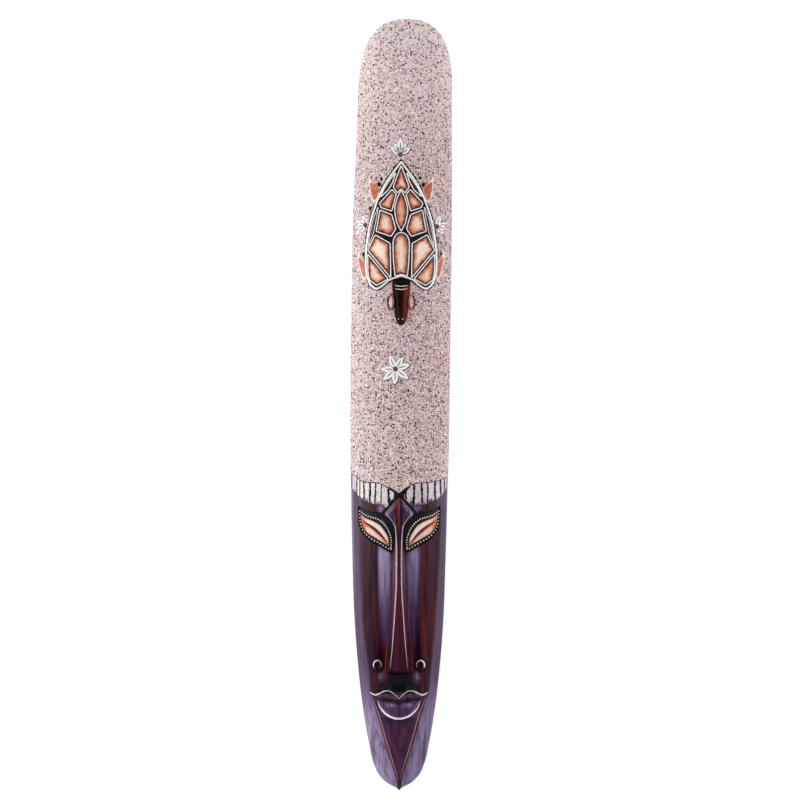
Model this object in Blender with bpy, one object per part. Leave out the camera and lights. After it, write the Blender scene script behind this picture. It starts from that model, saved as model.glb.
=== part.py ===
"""Long carved wooden wall mask: a tall arched board with a turtle in relief above a narrow face.

The mask is one piece of light wood, cut from the front and hollowed from behind. It lies on
its back rim: +X is the right side as seen from the front, +Y runs to the top end, +Z comes
out of the face, and the origin is the middle of the footprint, level with the rim.
"""

import math

import bmesh
import bpy
import numpy as np
from mathutils import Vector
from mathutils.geometry import delaunay_2d_cdt

# Driving sizes, in metres
LENGTH = 1.000
WIDTH = 0.128
DEPTH = 0.058
EDGE_HEIGHT = 0.009
BOW = 0.0105
WALL = 0.012
RIM = 0.014
TOP_LAND = 0.040
CHIN_LAND = 0.085
SHELL_RELIEF = 0.0040
SCUTE_RELIEF = 0.0012
FLIPPER_RELIEF = 0.0028
HEAD_RELIEF = 0.0085
HEAD_EYE_RELIEF = 0.0055
EYE_SINK = 0.0030
LEAF_RELIEF = 0.0026
LIP_RELIEF = 0.0050
NOSTRIL_RELIEF = 0.0035
BAND_RELIEF = 0.0012
CHISEL_STEP = 0.0010

# Sizes of the facets that the solid is made of
BOARD_FACET = 0.0120
TURTLE_FACET = 0.0062
FACE_FACET = 0.0050
HOLLOW_FACET = 0.0140
EDGE_LOOPS = (0.0025, 0.0080)
STEPS_PER_POINT = 3
LINE_CLEARANCE = 0.36
DOMED = 0.0025

# The carver's template: a sheet 128 across, 1000 down and 58 deep that the sizes above scale
SHEET = (128.0, 1000.0, 58.0)

# Blank: half widths down the sheet, the round top end, and how full the arch is
SIDE = [(100, 60.3), (200, 62.5), (320, 63.9), (450, 63.9), (600, 62.6), (700, 60.4), (780, 57.5),
        (830, 53.8), (883, 48.0), (935, 39.6), (966, 32.4), (979, 26.4), (989, 17.2), (1000, 0.8)]
TOP_ROUND = 100
TOP_SQUARENESS = 2.6
ARCH_FULLNESS = 2.4
ARCH_STEEPNESS = 0.75
BOW_FOOT = 753
BOARD_CROWN = [(0, 38), (150, 42), (400, 44.5), (600, 46), (700, 46)]

# Face: heights down the middle, and the crest where the cheeks and chin turn to the sides
FACE_SHARE = [(596, 0), (652, 1)]
FRONT_HEIGHT = [(560, 46), (640, 44), (700, 42), (750, 41), (800, 40), (850, 39.5), (880, 40),
                (911, 37), (932, 32), (960, 25), (991, 16.5), (1000, 11)]
CREST_ACROSS = [(560, 54), (630, 53.2), (692, 51.4), (727, 49.8), (805, 44.6), (846, 39.6), (872, 37),
                (898, 27.5), (932, 17.8), (960, 9.3), (991, 0.9), (1000, 0.3)]
CREST_HEIGHT = [(560, 28), (630, 27.5), (700, 28.5), (766, 29.5), (846, 29.5), (880, 30), (911, 27.5),
                (932, 25), (960, 20.5), (991, 15.5), (1000, 10.5)]
VALLEY_DEPTH = [(655, 0), (700, 5), (750, 8), (800, 9.5), (846, 9), (862, 7), (876, 0)]
VALLEY_WIDTH = 17
CREST_SOFTNESS = 2.5

# Nose: a ridge with a flat top between two sharp edges, cut off square below
NOSE_REACH = [(618, 0), (636, 1), (842, 1), (850, 0)]
NOSE_HALF = [(622, 15), (640, 6.5), (662, 4.5), (727, 3.6), (766, 5.6), (811, 8.7), (850, 11.6)]
NOSE_FOOT_HALF = [(622, 18), (640, 9), (662, 7), (727, 10), (785, 13.4), (850, 17.4)]
NOSE_HEIGHT = [(622, 46.2), (650, 46), (690, 47), (750, 50), (800, 54), (842, 58), (850, 58)]
NOSTRIL = (27.8, 836.4)
NOSTRIL_RADII = (6.6, 7.3)

# Eyes, lips and crossing bands: one side each, the other side is its mirror image
FRAME_UPPER = [(52.9, 630.4), (36, 638.5), (19.5, 642), (7, 658.2), (4.8, 674), (9.2, 691)]
FRAME_LOWER = [(9.2, 691), (25.3, 682.6), (45.2, 668.5), (53, 647), (52.9, 630.4)]
LEAF_UPPER = [(49.9, 640.7), (33.5, 649.7), (19.1, 661.1), (11.9, 683.5)]
LEAF_LOWER = [(11.9, 683.5), (29.7, 673), (46.6, 658), (49.9, 640.7)]
UPPER_LIP = [(0, 879), (3.9, 876), (11.7, 870.3), (19.5, 870.6), (28, 875), (37.1, 872.2)]
MOUTH_LINE = [(37.1, 872.2), (29, 878.3), (14, 879.8), (0, 883.6)]
LOWER_LIP = [(0, 906.4), (10, 904.2), (19, 897.5), (25.5, 887), (29.5, 880.8)]
LOWER_MOUTH_LINE = [(29.5, 880.8), (14, 882.2), (0, 886)]
BAND = [(0, 616.2), (22.7, 641.4)]
BAND_WIDTH = 5.8
LIP_SLOPE = 3.2
HEAD_SLOPE = 7.0

# Turtle: it stands upright on the board whatever the board's bow
SHELL = [(0, 183.5), (20, 211), (41.2, 264), (47, 312), (43.5, 342), (33.1, 352.1), (13.6, 339.6), (0, 334.6)]
HEAD = [(12, 336), (11.8, 352), (10.2, 368), (9, 382), (5.6, 393.5), (0, 398.2)]
HEAD_EYE, HEAD_EYE_RADII = (12.4, 367.5), (5.4, 10.8)
REAR_FLIPPER = [(41.5, 206.5), (33.5, 213.5), (26, 222), (30, 236), (34.5, 241.5), (39.5, 230)]
FRONT_FLIPPER = [(54.6, 309.5), (50.5, 302.5), (44, 304), (43, 336), (49.6, 339.5), (53.8, 324)]
SCUTES = [
    [(12.3, 254.1), (27.5, 248.1), (32.2, 274.3), (11.7, 279), (7.1, 272.4)],
    [(14.3, 291.2), (33.5, 280.2), (43.1, 299.6), (13.6, 335.3)],
    [(43.1, 304.8), (16.9, 337), (31.8, 345.3), (40.9, 337.9)],
    [(11.7, 221.5), (27.9, 239.3), (25.9, 244.7), (12.3, 249.3), (6.5, 228)],
    [(7.1, 199.7), (18.4, 214), (26.6, 230.9), (14, 219.5)],
    [(29.8, 243.8), (37.4, 262), (43.1, 295.1), (33.8, 268)],
]
MIDDLE_SCUTES = [
    [(0, 190.7), (10.1, 218.2), (5.1, 225.8), (0, 220.5)],
    [(0, 221.1), (8.2, 248), (0, 277)],
    [(0, 277.8), (10.4, 289), (7.8, 333.3), (0, 331.1)],
]

ACROSS, DOWN, UP = WIDTH / SHEET[0], LENGTH / SHEET[1], DEPTH / SHEET[2]


def curve_value(points, where):
    """Smooth height of a curve through (place, value) points, flat beyond both ends."""
    places = np.array([point[0] for point in points], float)
    values = np.array([point[1] for point in points], float)
    slopes = np.gradient(values, places)
    slopes[0] = slopes[-1] = 0.0
    for index in range(1, len(values) - 1):
        if (values[index] - values[index - 1]) * (values[index + 1] - values[index]) <= 0:
            slopes[index] = 0.0
    where = np.clip(where, places[0], places[-1])
    left = np.clip(np.searchsorted(places, where, side="right") - 1, 0, len(places) - 2)
    gap = places[left + 1] - places[left]
    t = (where - places[left]) / gap
    return ((1 + 2 * t) * (1 - t) ** 2 * values[left] + t * (1 - t) ** 2 * gap * slopes[left]
            + t * t * (3 - 2 * t) * values[left + 1] + t * t * (t - 1) * gap * slopes[left + 1])


def ramp(value, start, end):
    """0 before start and 1 after end, with an easy turn at both."""
    t = np.clip((value - start) / (end - start), 0, 1)
    return t * t * (3 - 2 * t)


def soft_min(first, second, softness):
    """The smaller of two heights, rounded where they cross."""
    share = np.clip(0.5 + 0.5 * (second - first) / softness, 0, 1)
    return second * (1 - share) + first * share - softness * share * (1 - share)


def lean(down):
    """How far the mask's middle line bows to the right, in metres."""
    return BOW * np.clip(1 - down / BOW_FOOT, 0, 1) ** 2


def half_width(down):
    """Half width of the sheet's outline at a place down the sheet."""
    end = np.clip(1 - down / TOP_ROUND, 0, 1)
    return curve_value(SIDE, down) * (1 - end ** TOP_SQUARENESS) ** (1 / TOP_SQUARENESS)


def footprint_middle():
    """Middle of the bowed outline across the mask, in metres."""
    down = np.linspace(0, SHEET[1], 400)
    half = half_width(down) * ACROSS
    return 0.5 * ((lean(down) + half).max() + (lean(down) - half).min())


MIDDLE = footprint_middle()


def place(points):
    """Template points as plan points in metres, on the bowed mask."""
    points = np.asarray(points, float)
    across = points[:, 0] * ACROSS + lean(points[:, 1]) - MIDDLE
    return np.column_stack([across, LENGTH / 2 - points[:, 1] * DOWN])


def place_upright(points):
    """Template points of the turtle as plan points in metres, on the footprint's middle."""
    points = np.asarray(points, float)
    return np.column_stack([points[:, 0] * ACROSS, LENGTH / 2 - points[:, 1] * DOWN])


def to_template(plan):
    """Plan points in metres as template places across and down."""
    down = (LENGTH / 2 - plan[:, 1]) / DOWN
    return (plan[:, 0] + MIDDLE - lean(down)) / ACROSS, down


def mirrored(points):
    """The same template points on the other side."""
    return [(-across, down) for across, down in points]


def smooth_line(points, steps=STEPS_PER_POINT):
    """A curve through a few points, as a list of points."""
    points = [Vector(point) for point in points]
    ends = [2 * points[0] - points[1]] + points + [2 * points[-1] - points[-2]]
    line = []
    for before, start, finish, after in zip(ends, ends[1:], ends[2:], ends[3:]):
        for step in range(steps):
            t = step / steps
            line.append(0.5 * (2 * start + (finish - before) * t
                               + (2 * before - 5 * start + 4 * finish - after) * t ** 2
                               + (3 * start - before - 3 * finish + after) * t ** 3))
    return [tuple(point) for point in line + [points[-1]]]


def two_sided(half, steps=STEPS_PER_POINT):
    """A closed outline from its right half, which starts and ends on the middle line."""
    right = smooth_line(half, steps)
    left = [point for point in reversed(mirrored(right)) if abs(point[0]) > 1e-6]
    return right + left


def closed_by_two(first, second, steps=STEPS_PER_POINT):
    """A closed outline of two curves that meet in points, such as an eye."""
    return smooth_line(first, steps)[:-1] + smooth_line(second, steps)[:-1]


def disc(centre, radii, sides=12):
    """An oval outline."""
    turns = [2 * math.pi * side / sides for side in range(sides)]
    return [(centre[0] + radii[0] * math.cos(turn), centre[1] + radii[1] * math.sin(turn)) for turn in turns]


def depth_inside(plan, outline):
    """Distance of plan points from a closed outline, above zero inside it."""
    starts = np.asarray(outline, float)
    runs = np.roll(starts, -1, axis=0) - starts
    nearest = np.full(len(plan), np.inf)
    inside = np.zeros(len(plan), bool)
    for (x, y), (run_x, run_y) in zip(starts, runs):
        off_x, off_y = plan[:, 0] - x, plan[:, 1] - y
        along = np.clip((off_x * run_x + off_y * run_y) / (run_x ** 2 + run_y ** 2), 0, 1)
        nearest = np.minimum(nearest, (off_x - along * run_x) ** 2 + (off_y - along * run_y) ** 2)
        crosses = (off_y < 0) != (off_y < run_y)
        if run_y != 0:
            inside ^= crosses & (off_x < off_y / run_y * run_x)
    return np.where(inside, 1, -1) * np.sqrt(nearest)


def inset(outline, distance):
    """A closed outline moved inwards by a distance."""
    points = np.asarray(outline, float)
    area = 0.5 * np.sum(points[:, 0] * np.roll(points[:, 1], -1) - points[:, 1] * np.roll(points[:, 0], -1))
    runs = np.roll(points, -1, axis=0) - points
    normals = np.column_stack([-runs[:, 1], runs[:, 0]]) * math.copysign(1, area)
    normals /= np.linalg.norm(normals, axis=1)[:, None]
    bisectors = normals + np.roll(normals, 1, axis=0)
    sizes = np.maximum(np.linalg.norm(bisectors, axis=1), 0.7)
    return points + bisectors / (sizes ** 2)[:, None] * 2 * distance


def carved_shapes():
    """Every closed shape of the carving as (outline, slope width, relief, family)."""
    shapes = [(place_upright(two_sided(SHELL)), CHISEL_STEP, SHELL_RELIEF, "turtle"),
              (place_upright(two_sided(HEAD)), HEAD_SLOPE * ACROSS, HEAD_RELIEF, "turtle")]
    for side in (1, -1):
        turned = [lambda points: points, mirrored][side < 0]
        for flipper in (REAR_FLIPPER, FRONT_FLIPPER):
            loop = smooth_line(turned(flipper) + turned(flipper[:1]))[:-1]
            shapes.append((place_upright(loop), CHISEL_STEP, FLIPPER_RELIEF, "turtle"))
        eye = place_upright(turned(disc(HEAD_EYE, HEAD_EYE_RADII)))
        shapes.append((eye, CHISEL_STEP, HEAD_EYE_RELIEF, "turtle"))
        for scute in SCUTES:
            shapes.append((place_upright(turned(scute)), CHISEL_STEP, SCUTE_RELIEF, "scute"))
        frame = closed_by_two(turned(FRAME_UPPER), turned(FRAME_LOWER))
        shapes.append((place(frame), CHISEL_STEP, -EYE_SINK, "face"))
        leaf = closed_by_two(turned(LEAF_UPPER), turned(LEAF_LOWER))
        shapes.append((place(leaf), 2 * CHISEL_STEP, LEAF_RELIEF, "face"))
    for scute in MIDDLE_SCUTES:
        shapes.append((place_upright(two_sided(scute, 1)), CHISEL_STEP, SCUTE_RELIEF, "scute"))
    upper = smooth_line(UPPER_LIP)[:-1] + smooth_line(MOUTH_LINE)
    lower = smooth_line(LOWER_LIP)[:-1] + smooth_line(LOWER_MOUTH_LINE)
    for half in (upper, lower):
        whole = half + list(reversed(mirrored(half)))[1:-1]
        shapes.append((place(whole), LIP_SLOPE * ACROSS, LIP_RELIEF, "face"))
    return shapes


def plain_front(across, down):
    """Height of the blank and the face's large facets, with no nose or relief on them."""
    half = np.maximum(half_width(down), 0.3)
    end = np.clip(1 - down / TOP_ROUND, 0, 1)
    side = np.clip(np.abs(across) / curve_value(SIDE, down), 0, 1)
    out = np.clip((side ** TOP_SQUARENESS + end ** TOP_SQUARENESS) ** (1 / TOP_SQUARENESS), 0, 1)
    arch = (1 - out ** ARCH_FULLNESS) ** ARCH_STEEPNESS
    edge = EDGE_HEIGHT / UP
    board = edge + (curve_value(BOARD_CROWN, down) - edge) * arch
    crest_across = curve_value(CREST_ACROSS, down)
    crest_height = curve_value(CREST_HEIGHT, down)
    middle = curve_value(FRONT_HEIGHT, down)
    front = middle - (middle - crest_height) * np.clip(np.abs(across) / crest_across, 0, 1) ** 2
    side_share = (half - np.abs(across)) / np.maximum(half - crest_across, 1.0)
    sides = edge + (crest_height - edge) * np.clip(side_share, 0, 2)
    face = soft_min(front, sides, CREST_SOFTNESS)
    foot = curve_value(NOSE_FOOT_HALF, down)
    valley = 1 - ramp(np.abs(across), foot, foot + VALLEY_WIDTH)
    face = face - curve_value(VALLEY_DEPTH, down) * valley
    share = curve_value(FACE_SHARE, down)
    return np.maximum(board * (1 - share) + face * share, edge)


def nose(across, down, ground):
    """Height with the nose's ridge standing on the ground."""
    top_half = curve_value(NOSE_HALF, down)
    foot_half = curve_value(NOSE_FOOT_HALF, down)
    flank = np.clip((foot_half - np.abs(across)) / (foot_half - top_half), 0, 1)
    reach = curve_value(NOSE_REACH, down)
    height = np.maximum(curve_value(NOSE_HEIGHT, down) - ground, 0)
    return ground + height * flank * reach


def nostrils(across, down):
    """Two ringed wings beside the nose, each with a dished middle."""
    off = np.hypot((np.abs(across) - NOSTRIL[0]) / NOSTRIL_RADII[0], (down - NOSTRIL[1]) / NOSTRIL_RADII[1])
    return NOSTRIL_RELIEF * (ramp(-off, -1.0, -0.68) - 0.75 * ramp(-off, -0.55, -0.1))


def bands(across, down):
    """Two low bands that run down from the crossing above the nose."""
    (start_across, start_down), (end_across, end_down) = BAND
    run = np.array([end_across - start_across, end_down - start_down])
    size = float(np.hypot(*run))
    along = ((np.abs(across) - start_across) * run[0] + (down - start_down) * run[1]) / size
    off = np.abs((np.abs(across) - start_across) * run[1] - (down - start_down) * run[0]) / size
    ends = ramp(along, -2, 1) * (1 - ramp(along, size - 4, size))
    return BAND_RELIEF * (1 - ramp(off, BAND_WIDTH / 2 - 0.8, BAND_WIDTH / 2 + 0.4)) * ends


def front_height(plan, shapes):
    """Height of the finished front above the rim, in metres."""
    across, down = to_template(plan)
    ground = plain_front(across, down)
    height = nose(across, down, ground) * UP + nostrils(across, down) + bands(across, down)
    turtle = np.zeros(len(plan))
    for outline, slope, relief, family in shapes:
        raised = relief * ramp(depth_inside(plan, outline), 0, slope)
        if family == "turtle":
            turtle = np.maximum(turtle, raised)
        else:
            height = height + raised
    return height + turtle


def outline_loop():
    """The mask's outline in plan, from the chin up the right side and down the left."""
    turn = np.linspace(0, 1, 12, endpoint=False)
    top = TOP_ROUND * turn ** 2.2
    sides = np.arange(TOP_ROUND, 966, BOARD_FACET / DOWN)
    chin = [966, 972.5, 979, 984, 989, 994.5]
    down = np.concatenate([top[1:], sides, chin])
    right = [(float(half_width(one)), float(one)) for one in down]
    left = [(-across, one) for across, one in right]
    return place([(0, 0)] + right + [(0, SHEET[1])] + left[::-1])


def opening_loop():
    """The mouth of the hollow in the back, a rim's width inside the outline."""
    start, finish = TOP_LAND / DOWN, (LENGTH - CHIN_LAND) / DOWN
    count = int((LENGTH - TOP_LAND - CHIN_LAND) / HOLLOW_FACET)
    share = 0.5 - 0.5 * np.cos(np.pi * np.linspace(0, 1, count))
    down = start + (finish - start) * share
    from_end = np.minimum(down - start, finish - down) / (RIM / DOWN * 3)
    fullness = (1 - np.clip(1 - from_end, 0, 1) ** TOP_SQUARENESS) ** (1 / TOP_SQUARENESS)
    half = (half_width(down) - RIM / ACROSS) * fullness
    right = [(float(a), float(b)) for a, b in zip(half, down)]
    left = [(-across, one) for across, one in right[1:-1]]
    return place(right + left[::-1])


def hollow_height(plan, opening):
    """Height of the hollow's roof above the rim: a wall's thickness under the front."""
    across, down = to_template(plan)
    roof = plain_front(across, down) * UP - WALL
    return np.maximum(soft_min(roof, 1.6 * depth_inside(plan, opening), 0.004), 0)


def fill_points(outline, from_down, to_down, facet):
    """Staggered points over one stretch of the mask, clear of its outline."""
    rows = []
    for row, down in enumerate(np.arange(from_down * DOWN, to_down * DOWN, facet * 0.866)):
        count = int(WIDTH / facet) + 2
        across = (np.arange(-count, count + 1) + 0.5 * (row % 2)) * facet
        rows.append(np.column_stack([across, np.full(len(across), LENGTH / 2 - down)]))
    points = np.concatenate(rows)
    return points[depth_inside(points, outline) > 0.5 * facet]


def clear_of(points, lines, gap):
    """The points that keep a gap to every line."""
    keep = np.ones(len(points), bool)
    for line, closed in lines:
        loop = np.asarray(line)
        for start, finish in zip(loop, np.roll(loop, -1, axis=0) if closed else loop[1:]):
            run = finish - start
            off = points - start
            along = np.clip(off @ run / max(run @ run, 1e-12), 0, 1)
            keep &= np.linalg.norm(off - along[:, None] * run, axis=1) > gap
    return points[keep]


def ridge_lines():
    """The facets' own edges: crests, nose edges, valley and mouth surroundings."""
    lines = []
    root, tip, foot = [down for down, share in NOSE_REACH[1:]]
    for side in (1, -1):
        down = np.linspace(CREST_ACROSS[2][0], CREST_ACROSS[-3][0], 36)
        for beside in (-CREST_SOFTNESS, 0, CREST_SOFTNESS):
            crest = side * (curve_value(CREST_ACROSS, down) + beside)
            lines.append(place(np.column_stack([crest, down])))
        nose_down = np.linspace(root, tip, 22)
        for half in (NOSE_HALF, NOSE_FOOT_HALF):
            ridge = np.column_stack([side * curve_value(half, nose_down), nose_down])
            lines.append(place(ridge))
        valley_down = nose_down[8:-2]
        for share in (0.35, 0.7, 1.0):
            valley = curve_value(NOSE_FOOT_HALF, valley_down) + share * VALLEY_WIDTH
            lines.append(place(np.column_stack([side * valley, valley_down])))
    for down in (tip, foot):
        half = float(curve_value(NOSE_FOOT_HALF, down))
        lines.append(place([(share * half, down) for share in (-1, -0.66, -0.33, 0, 0.33, 0.66, 1)]))
    return lines


def triangles(loop, lines, points):
    """Triangles that fill a closed loop and follow the lines inside it."""
    coordinates, edges = [], []
    for line, closed in [(loop, True)] + lines:
        first = len(coordinates)
        coordinates += [Vector(point) for point in line]
        last = len(coordinates) - 1
        edges += [(index, index + 1) for index in range(first, last)]
        if closed:
            edges.append((last, first))
    coordinates += [Vector(point) for point in points]
    face = list(range(len(loop)))
    result = delaunay_2d_cdt(coordinates, edges, [face], 1, 1e-7)
    return np.array([tuple(point) for point in result[0]]), result[2]


def add_surface(mesh, plan, heights, faces, facing_up):
    """Add a lifted triangulation to the mesh, facing up or down."""
    corners = [mesh.verts.new((float(x), float(y), float(z))) for (x, y), z in zip(plan, heights)]
    for face in faces:
        mesh.faces.new([corners[index] for index in (face if facing_up else reversed(face))])


def add_wall(mesh, loop, low, high):
    """Add the side wall between two heights along a loop that runs clockwise."""
    bottom = [mesh.verts.new((float(x), float(y), low)) for x, y in loop]
    top = [mesh.verts.new((float(x), float(y), float(z))) for (x, y), z in zip(loop, high)]
    for index in range(len(loop)):
        after = (index + 1) % len(loop)
        mesh.faces.new((bottom[index], top[index], top[after], bottom[after]))


def front_lines(outline, shapes):
    """Lines that the front's triangles follow: (points, closed)."""
    lines = [(inset(outline, distance), True) for distance in EDGE_LOOPS]
    for shape, slope, relief, family in shapes:
        lines.append((shape, True))
        lines.append((inset(shape, slope), True))
        if slope > DOMED:
            lines.append((inset(shape, slope / 2), True))
    lines += [(line, False) for line in ridge_lines()]
    for side in (1, -1):
        for share in (1.0, 0.68, 0.3):
            radii = (NOSTRIL_RADII[0] * share, NOSTRIL_RADII[1] * share)
            lines.append((place(disc((side * NOSTRIL[0], NOSTRIL[1]), radii)), True))
    return lines


def mask_mesh():
    """The whole mask as one closed mesh."""
    outline, opening, shapes = outline_loop(), opening_loop(), carved_shapes()
    lines = front_lines(outline, shapes)
    stretches = ((0, 165, BOARD_FACET), (165, 415, TURTLE_FACET), (415, 590, BOARD_FACET),
                 (590, SHEET[1], FACE_FACET))
    points = []
    for start, finish, facet in stretches:
        filled = fill_points(outline, start, finish, facet)
        points.append(clear_of(filled, lines, LINE_CLEARANCE * facet))
    plan, faces = triangles(outline, lines, np.concatenate(points))
    mesh = bmesh.new()
    add_surface(mesh, plan, front_height(plan, shapes), faces, True)
    add_wall(mesh, outline, 0.0, front_height(outline, shapes))
    ring, ring_faces = triangles(outline, [(opening, True)], [])
    middles = np.array([ring[list(face)].mean(axis=0) for face in ring_faces])
    outside = depth_inside(middles, opening) < 0
    kept = [face for face, keep in zip(ring_faces, outside) if keep]
    add_surface(mesh, ring, np.zeros(len(ring)), kept, False)
    inner = fill_points(opening, 0, SHEET[1], HOLLOW_FACET)
    hollow, hollow_faces = triangles(opening, [(inset(opening, 0.006), True)], inner)
    add_surface(mesh, hollow, hollow_height(hollow, opening), hollow_faces, False)
    bmesh.ops.remove_doubles(mesh, verts=mesh.verts, dist=1e-6)
    loose = [vertex for vertex in mesh.verts if not vertex.link_faces]
    bmesh.ops.delete(mesh, geom=loose, context="VERTS")
    bmesh.ops.triangulate(mesh, faces=mesh.faces)
    bmesh.ops.recalc_face_normals(mesh, faces=mesh.faces)
    return mesh


def material(name, colour, roughness):
    """A plain finish for one part of the surface."""
    made = bpy.data.materials.new(name)
    made.use_nodes = True
    shader = made.node_tree.nodes["Principled BSDF"]
    shader.inputs["Base Color"].default_value = (*colour, 1)
    shader.inputs["Roughness"].default_value = roughness
    shader.inputs["Metallic"].default_value = 0.0
    return made


def build():
    """Clear the scene and make the mask."""
    for thing in list(bpy.data.objects):
        bpy.data.objects.remove(thing, do_unlink=True)
    mesh = bpy.data.meshes.new("carved_mask")
    solid = mask_mesh()
    solid.to_mesh(mesh)
    solid.free()
    mask = bpy.data.objects.new("carved_mask", mesh)
    bpy.context.scene.collection.objects.link(mask)
    mesh.materials.append(material("lacquered dark wood", (0.060, 0.022, 0.022), 0.30))
    mesh.shade_smooth()
    mesh.set_sharp_from_angle(angle=math.radians(35))
    mask["triangles"] = len(mesh.polygons)


build()
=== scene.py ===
"""Looks of a long carved wooden wall mask with a sand coat, a turtle in relief and painted lines.

The frame's own solid gives the mask's length, width and depth. The carver's template below has
the same curves as the solid's source: a sheet 128 across, 1000 down and 58 deep, which the
frame's sizes scale. Every piece stands on the heights that the template gives.
"""

import math

import bmesh
import bpy
import numpy as np
from bpy.props import FloatProperty, FloatVectorProperty, PointerProperty
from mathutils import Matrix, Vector, kdtree
from mathutils.geometry import delaunay_2d_cdt


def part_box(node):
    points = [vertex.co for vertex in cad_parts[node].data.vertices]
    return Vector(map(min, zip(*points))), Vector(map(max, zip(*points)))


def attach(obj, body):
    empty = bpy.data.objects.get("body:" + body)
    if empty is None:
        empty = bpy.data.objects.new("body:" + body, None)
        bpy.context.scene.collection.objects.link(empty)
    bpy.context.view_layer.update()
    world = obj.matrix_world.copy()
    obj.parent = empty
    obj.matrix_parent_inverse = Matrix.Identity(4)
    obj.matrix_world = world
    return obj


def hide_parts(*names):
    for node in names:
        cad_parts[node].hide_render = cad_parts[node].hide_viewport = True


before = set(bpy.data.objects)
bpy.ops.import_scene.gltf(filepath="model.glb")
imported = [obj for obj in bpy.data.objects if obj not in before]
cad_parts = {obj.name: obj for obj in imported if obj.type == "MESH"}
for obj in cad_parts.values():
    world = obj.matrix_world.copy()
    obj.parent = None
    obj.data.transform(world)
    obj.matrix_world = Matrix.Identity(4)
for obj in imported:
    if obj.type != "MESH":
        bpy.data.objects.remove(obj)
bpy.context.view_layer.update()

bl_info = {
    "name": "Carved wall mask",
    "version": (1, 0, 0),
    "blender": (4, 5, 0),
    "location": "View3D > Sidebar > Mask",
    "description": "Dresses the carved mask with its wood, sand coat, turtle and painted lines",
    "category": "Object",
}

LOW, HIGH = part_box("carved_mask")
SHEET = (128.0, 1000.0, 58.0)
BOWED_WIDTH = 130.97

LENGTH, DEPTH = HIGH.y - LOW.y, HIGH.z - LOW.z
ACROSS = (HIGH.x - LOW.x) / BOWED_WIDTH
DOWN, UP = LENGTH / SHEET[1], DEPTH / SHEET[2]
BOW, BOW_FOOT = 0.0105 * LENGTH, 753
EDGE_HEIGHT = 9.0 * UP
WALL, RIM = 12.0 * UP, 14.0 * ACROSS
TOP_LAND, CHIN_LAND = 40.0, 85.0
SHELL_RELIEF, SCUTE_RELIEF, FLIPPER_RELIEF = 4.0 * UP, 1.2 * UP, 2.8 * UP
HEAD_RELIEF, HEAD_EYE_RELIEF, HEAD_SLOPE = 8.5 * UP, 5.5 * UP, 7.0 * ACROSS
EYE_SINK, LEAF_RELIEF = 3.0 * UP, 2.6 * UP
LIP_RELIEF, LIP_SLOPE = 5.0 * UP, 3.2 * ACROSS
NOSTRIL_RELIEF, BAND_RELIEF = 3.5 * UP, 1.2 * UP
CHISEL_STEP = 1.0 * ACROSS

# Blank: half widths down the sheet, the round top end, and how full the arch is
SIDE = [(100, 60.3), (200, 62.5), (320, 63.9), (450, 63.9), (600, 62.6), (700, 60.4), (780, 57.5),
        (830, 53.8), (883, 48.0), (935, 39.6), (966, 32.4), (979, 26.4), (989, 17.2), (1000, 0.8)]
TOP_ROUND = 100
TOP_SQUARENESS = 2.6
ARCH_FULLNESS = 2.4
ARCH_STEEPNESS = 0.75
BOARD_CROWN = [(0, 38), (150, 42), (400, 44.5), (600, 46), (700, 46)]

# Face: heights down the middle, and the crest where the cheeks and chin turn to the sides
FACE_SHARE = [(596, 0), (652, 1)]
FRONT_HEIGHT = [(560, 46), (640, 44), (700, 42), (750, 41), (800, 40), (850, 39.5), (880, 40),
                (911, 37), (932, 32), (960, 25), (991, 16.5), (1000, 11)]
CREST_ACROSS = [(560, 54), (630, 53.2), (692, 51.4), (727, 49.8), (805, 44.6), (846, 39.6), (872, 37),
                (898, 27.5), (932, 17.8), (960, 9.3), (991, 0.9), (1000, 0.3)]
CREST_HEIGHT = [(560, 28), (630, 27.5), (700, 28.5), (766, 29.5), (846, 29.5), (880, 30), (911, 27.5),
                (932, 25), (960, 20.5), (991, 15.5), (1000, 10.5)]
VALLEY_DEPTH = [(655, 0), (700, 5), (750, 8), (800, 9.5), (846, 9), (862, 7), (876, 0)]
VALLEY_WIDTH = 17
CREST_SOFTNESS = 2.5

# Nose: a ridge with a dished top between two sharp edges, cut off square below
NOSE_REACH = [(618, 0), (636, 1), (842, 1), (850, 0)]
NOSE_HALF = [(622, 15), (640, 6.5), (662, 4.5), (727, 3.6), (766, 5.6), (811, 8.7), (850, 11.6)]
NOSE_FOOT_HALF = [(622, 18), (640, 9), (662, 7), (727, 10), (785, 13.4), (850, 17.4)]
NOSE_HEIGHT = [(622, 46.2), (650, 46), (690, 47), (750, 50), (800, 54), (842, 58), (850, 58)]
NOSE_DISH = 0.9
NOSTRIL = (27.8, 836.4)
NOSTRIL_RADII = (6.6, 7.3)

# Eyes, lips and crossing bands: one side each, the other side is its mirror image
FRAME_UPPER = [(52.9, 630.4), (44.7, 635.5), (35.4, 638.8), (26.6, 638.8), (19.5, 642), (12.7, 648.5),
               (7, 658.2), (4.9, 668.6), (5.2, 679), (7.8, 689.4)]
FRAME_LOWER = [(7.8, 689.4), (11.4, 690.7), (25.3, 682.6), (37, 676.4), (45.7, 668.1), (51.2, 658),
               (52.8, 646.6), (52.9, 630.4)]
LEAF_UPPER = [(49.9, 640.7), (42.8, 645.8), (33.5, 649.7), (25.3, 654.2), (19.1, 661.1), (14.3, 669.3),
              (12.2, 676.4), (11.9, 683.5)]
LEAF_LOWER = [(11.9, 683.5), (18.4, 679.8), (29.7, 673), (41.2, 666), (47.1, 657.7), (49.4, 648.5),
              (49.9, 640.7)]
EYE_SLIT = [(46.7, 650.5), (33.7, 658.9), (23.3, 668), (16.2, 677)]
UPPER_LIP = [(0, 879), (3.9, 876), (11.7, 870.3), (19.5, 870.6), (28, 875), (37.1, 872.2)]
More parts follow.
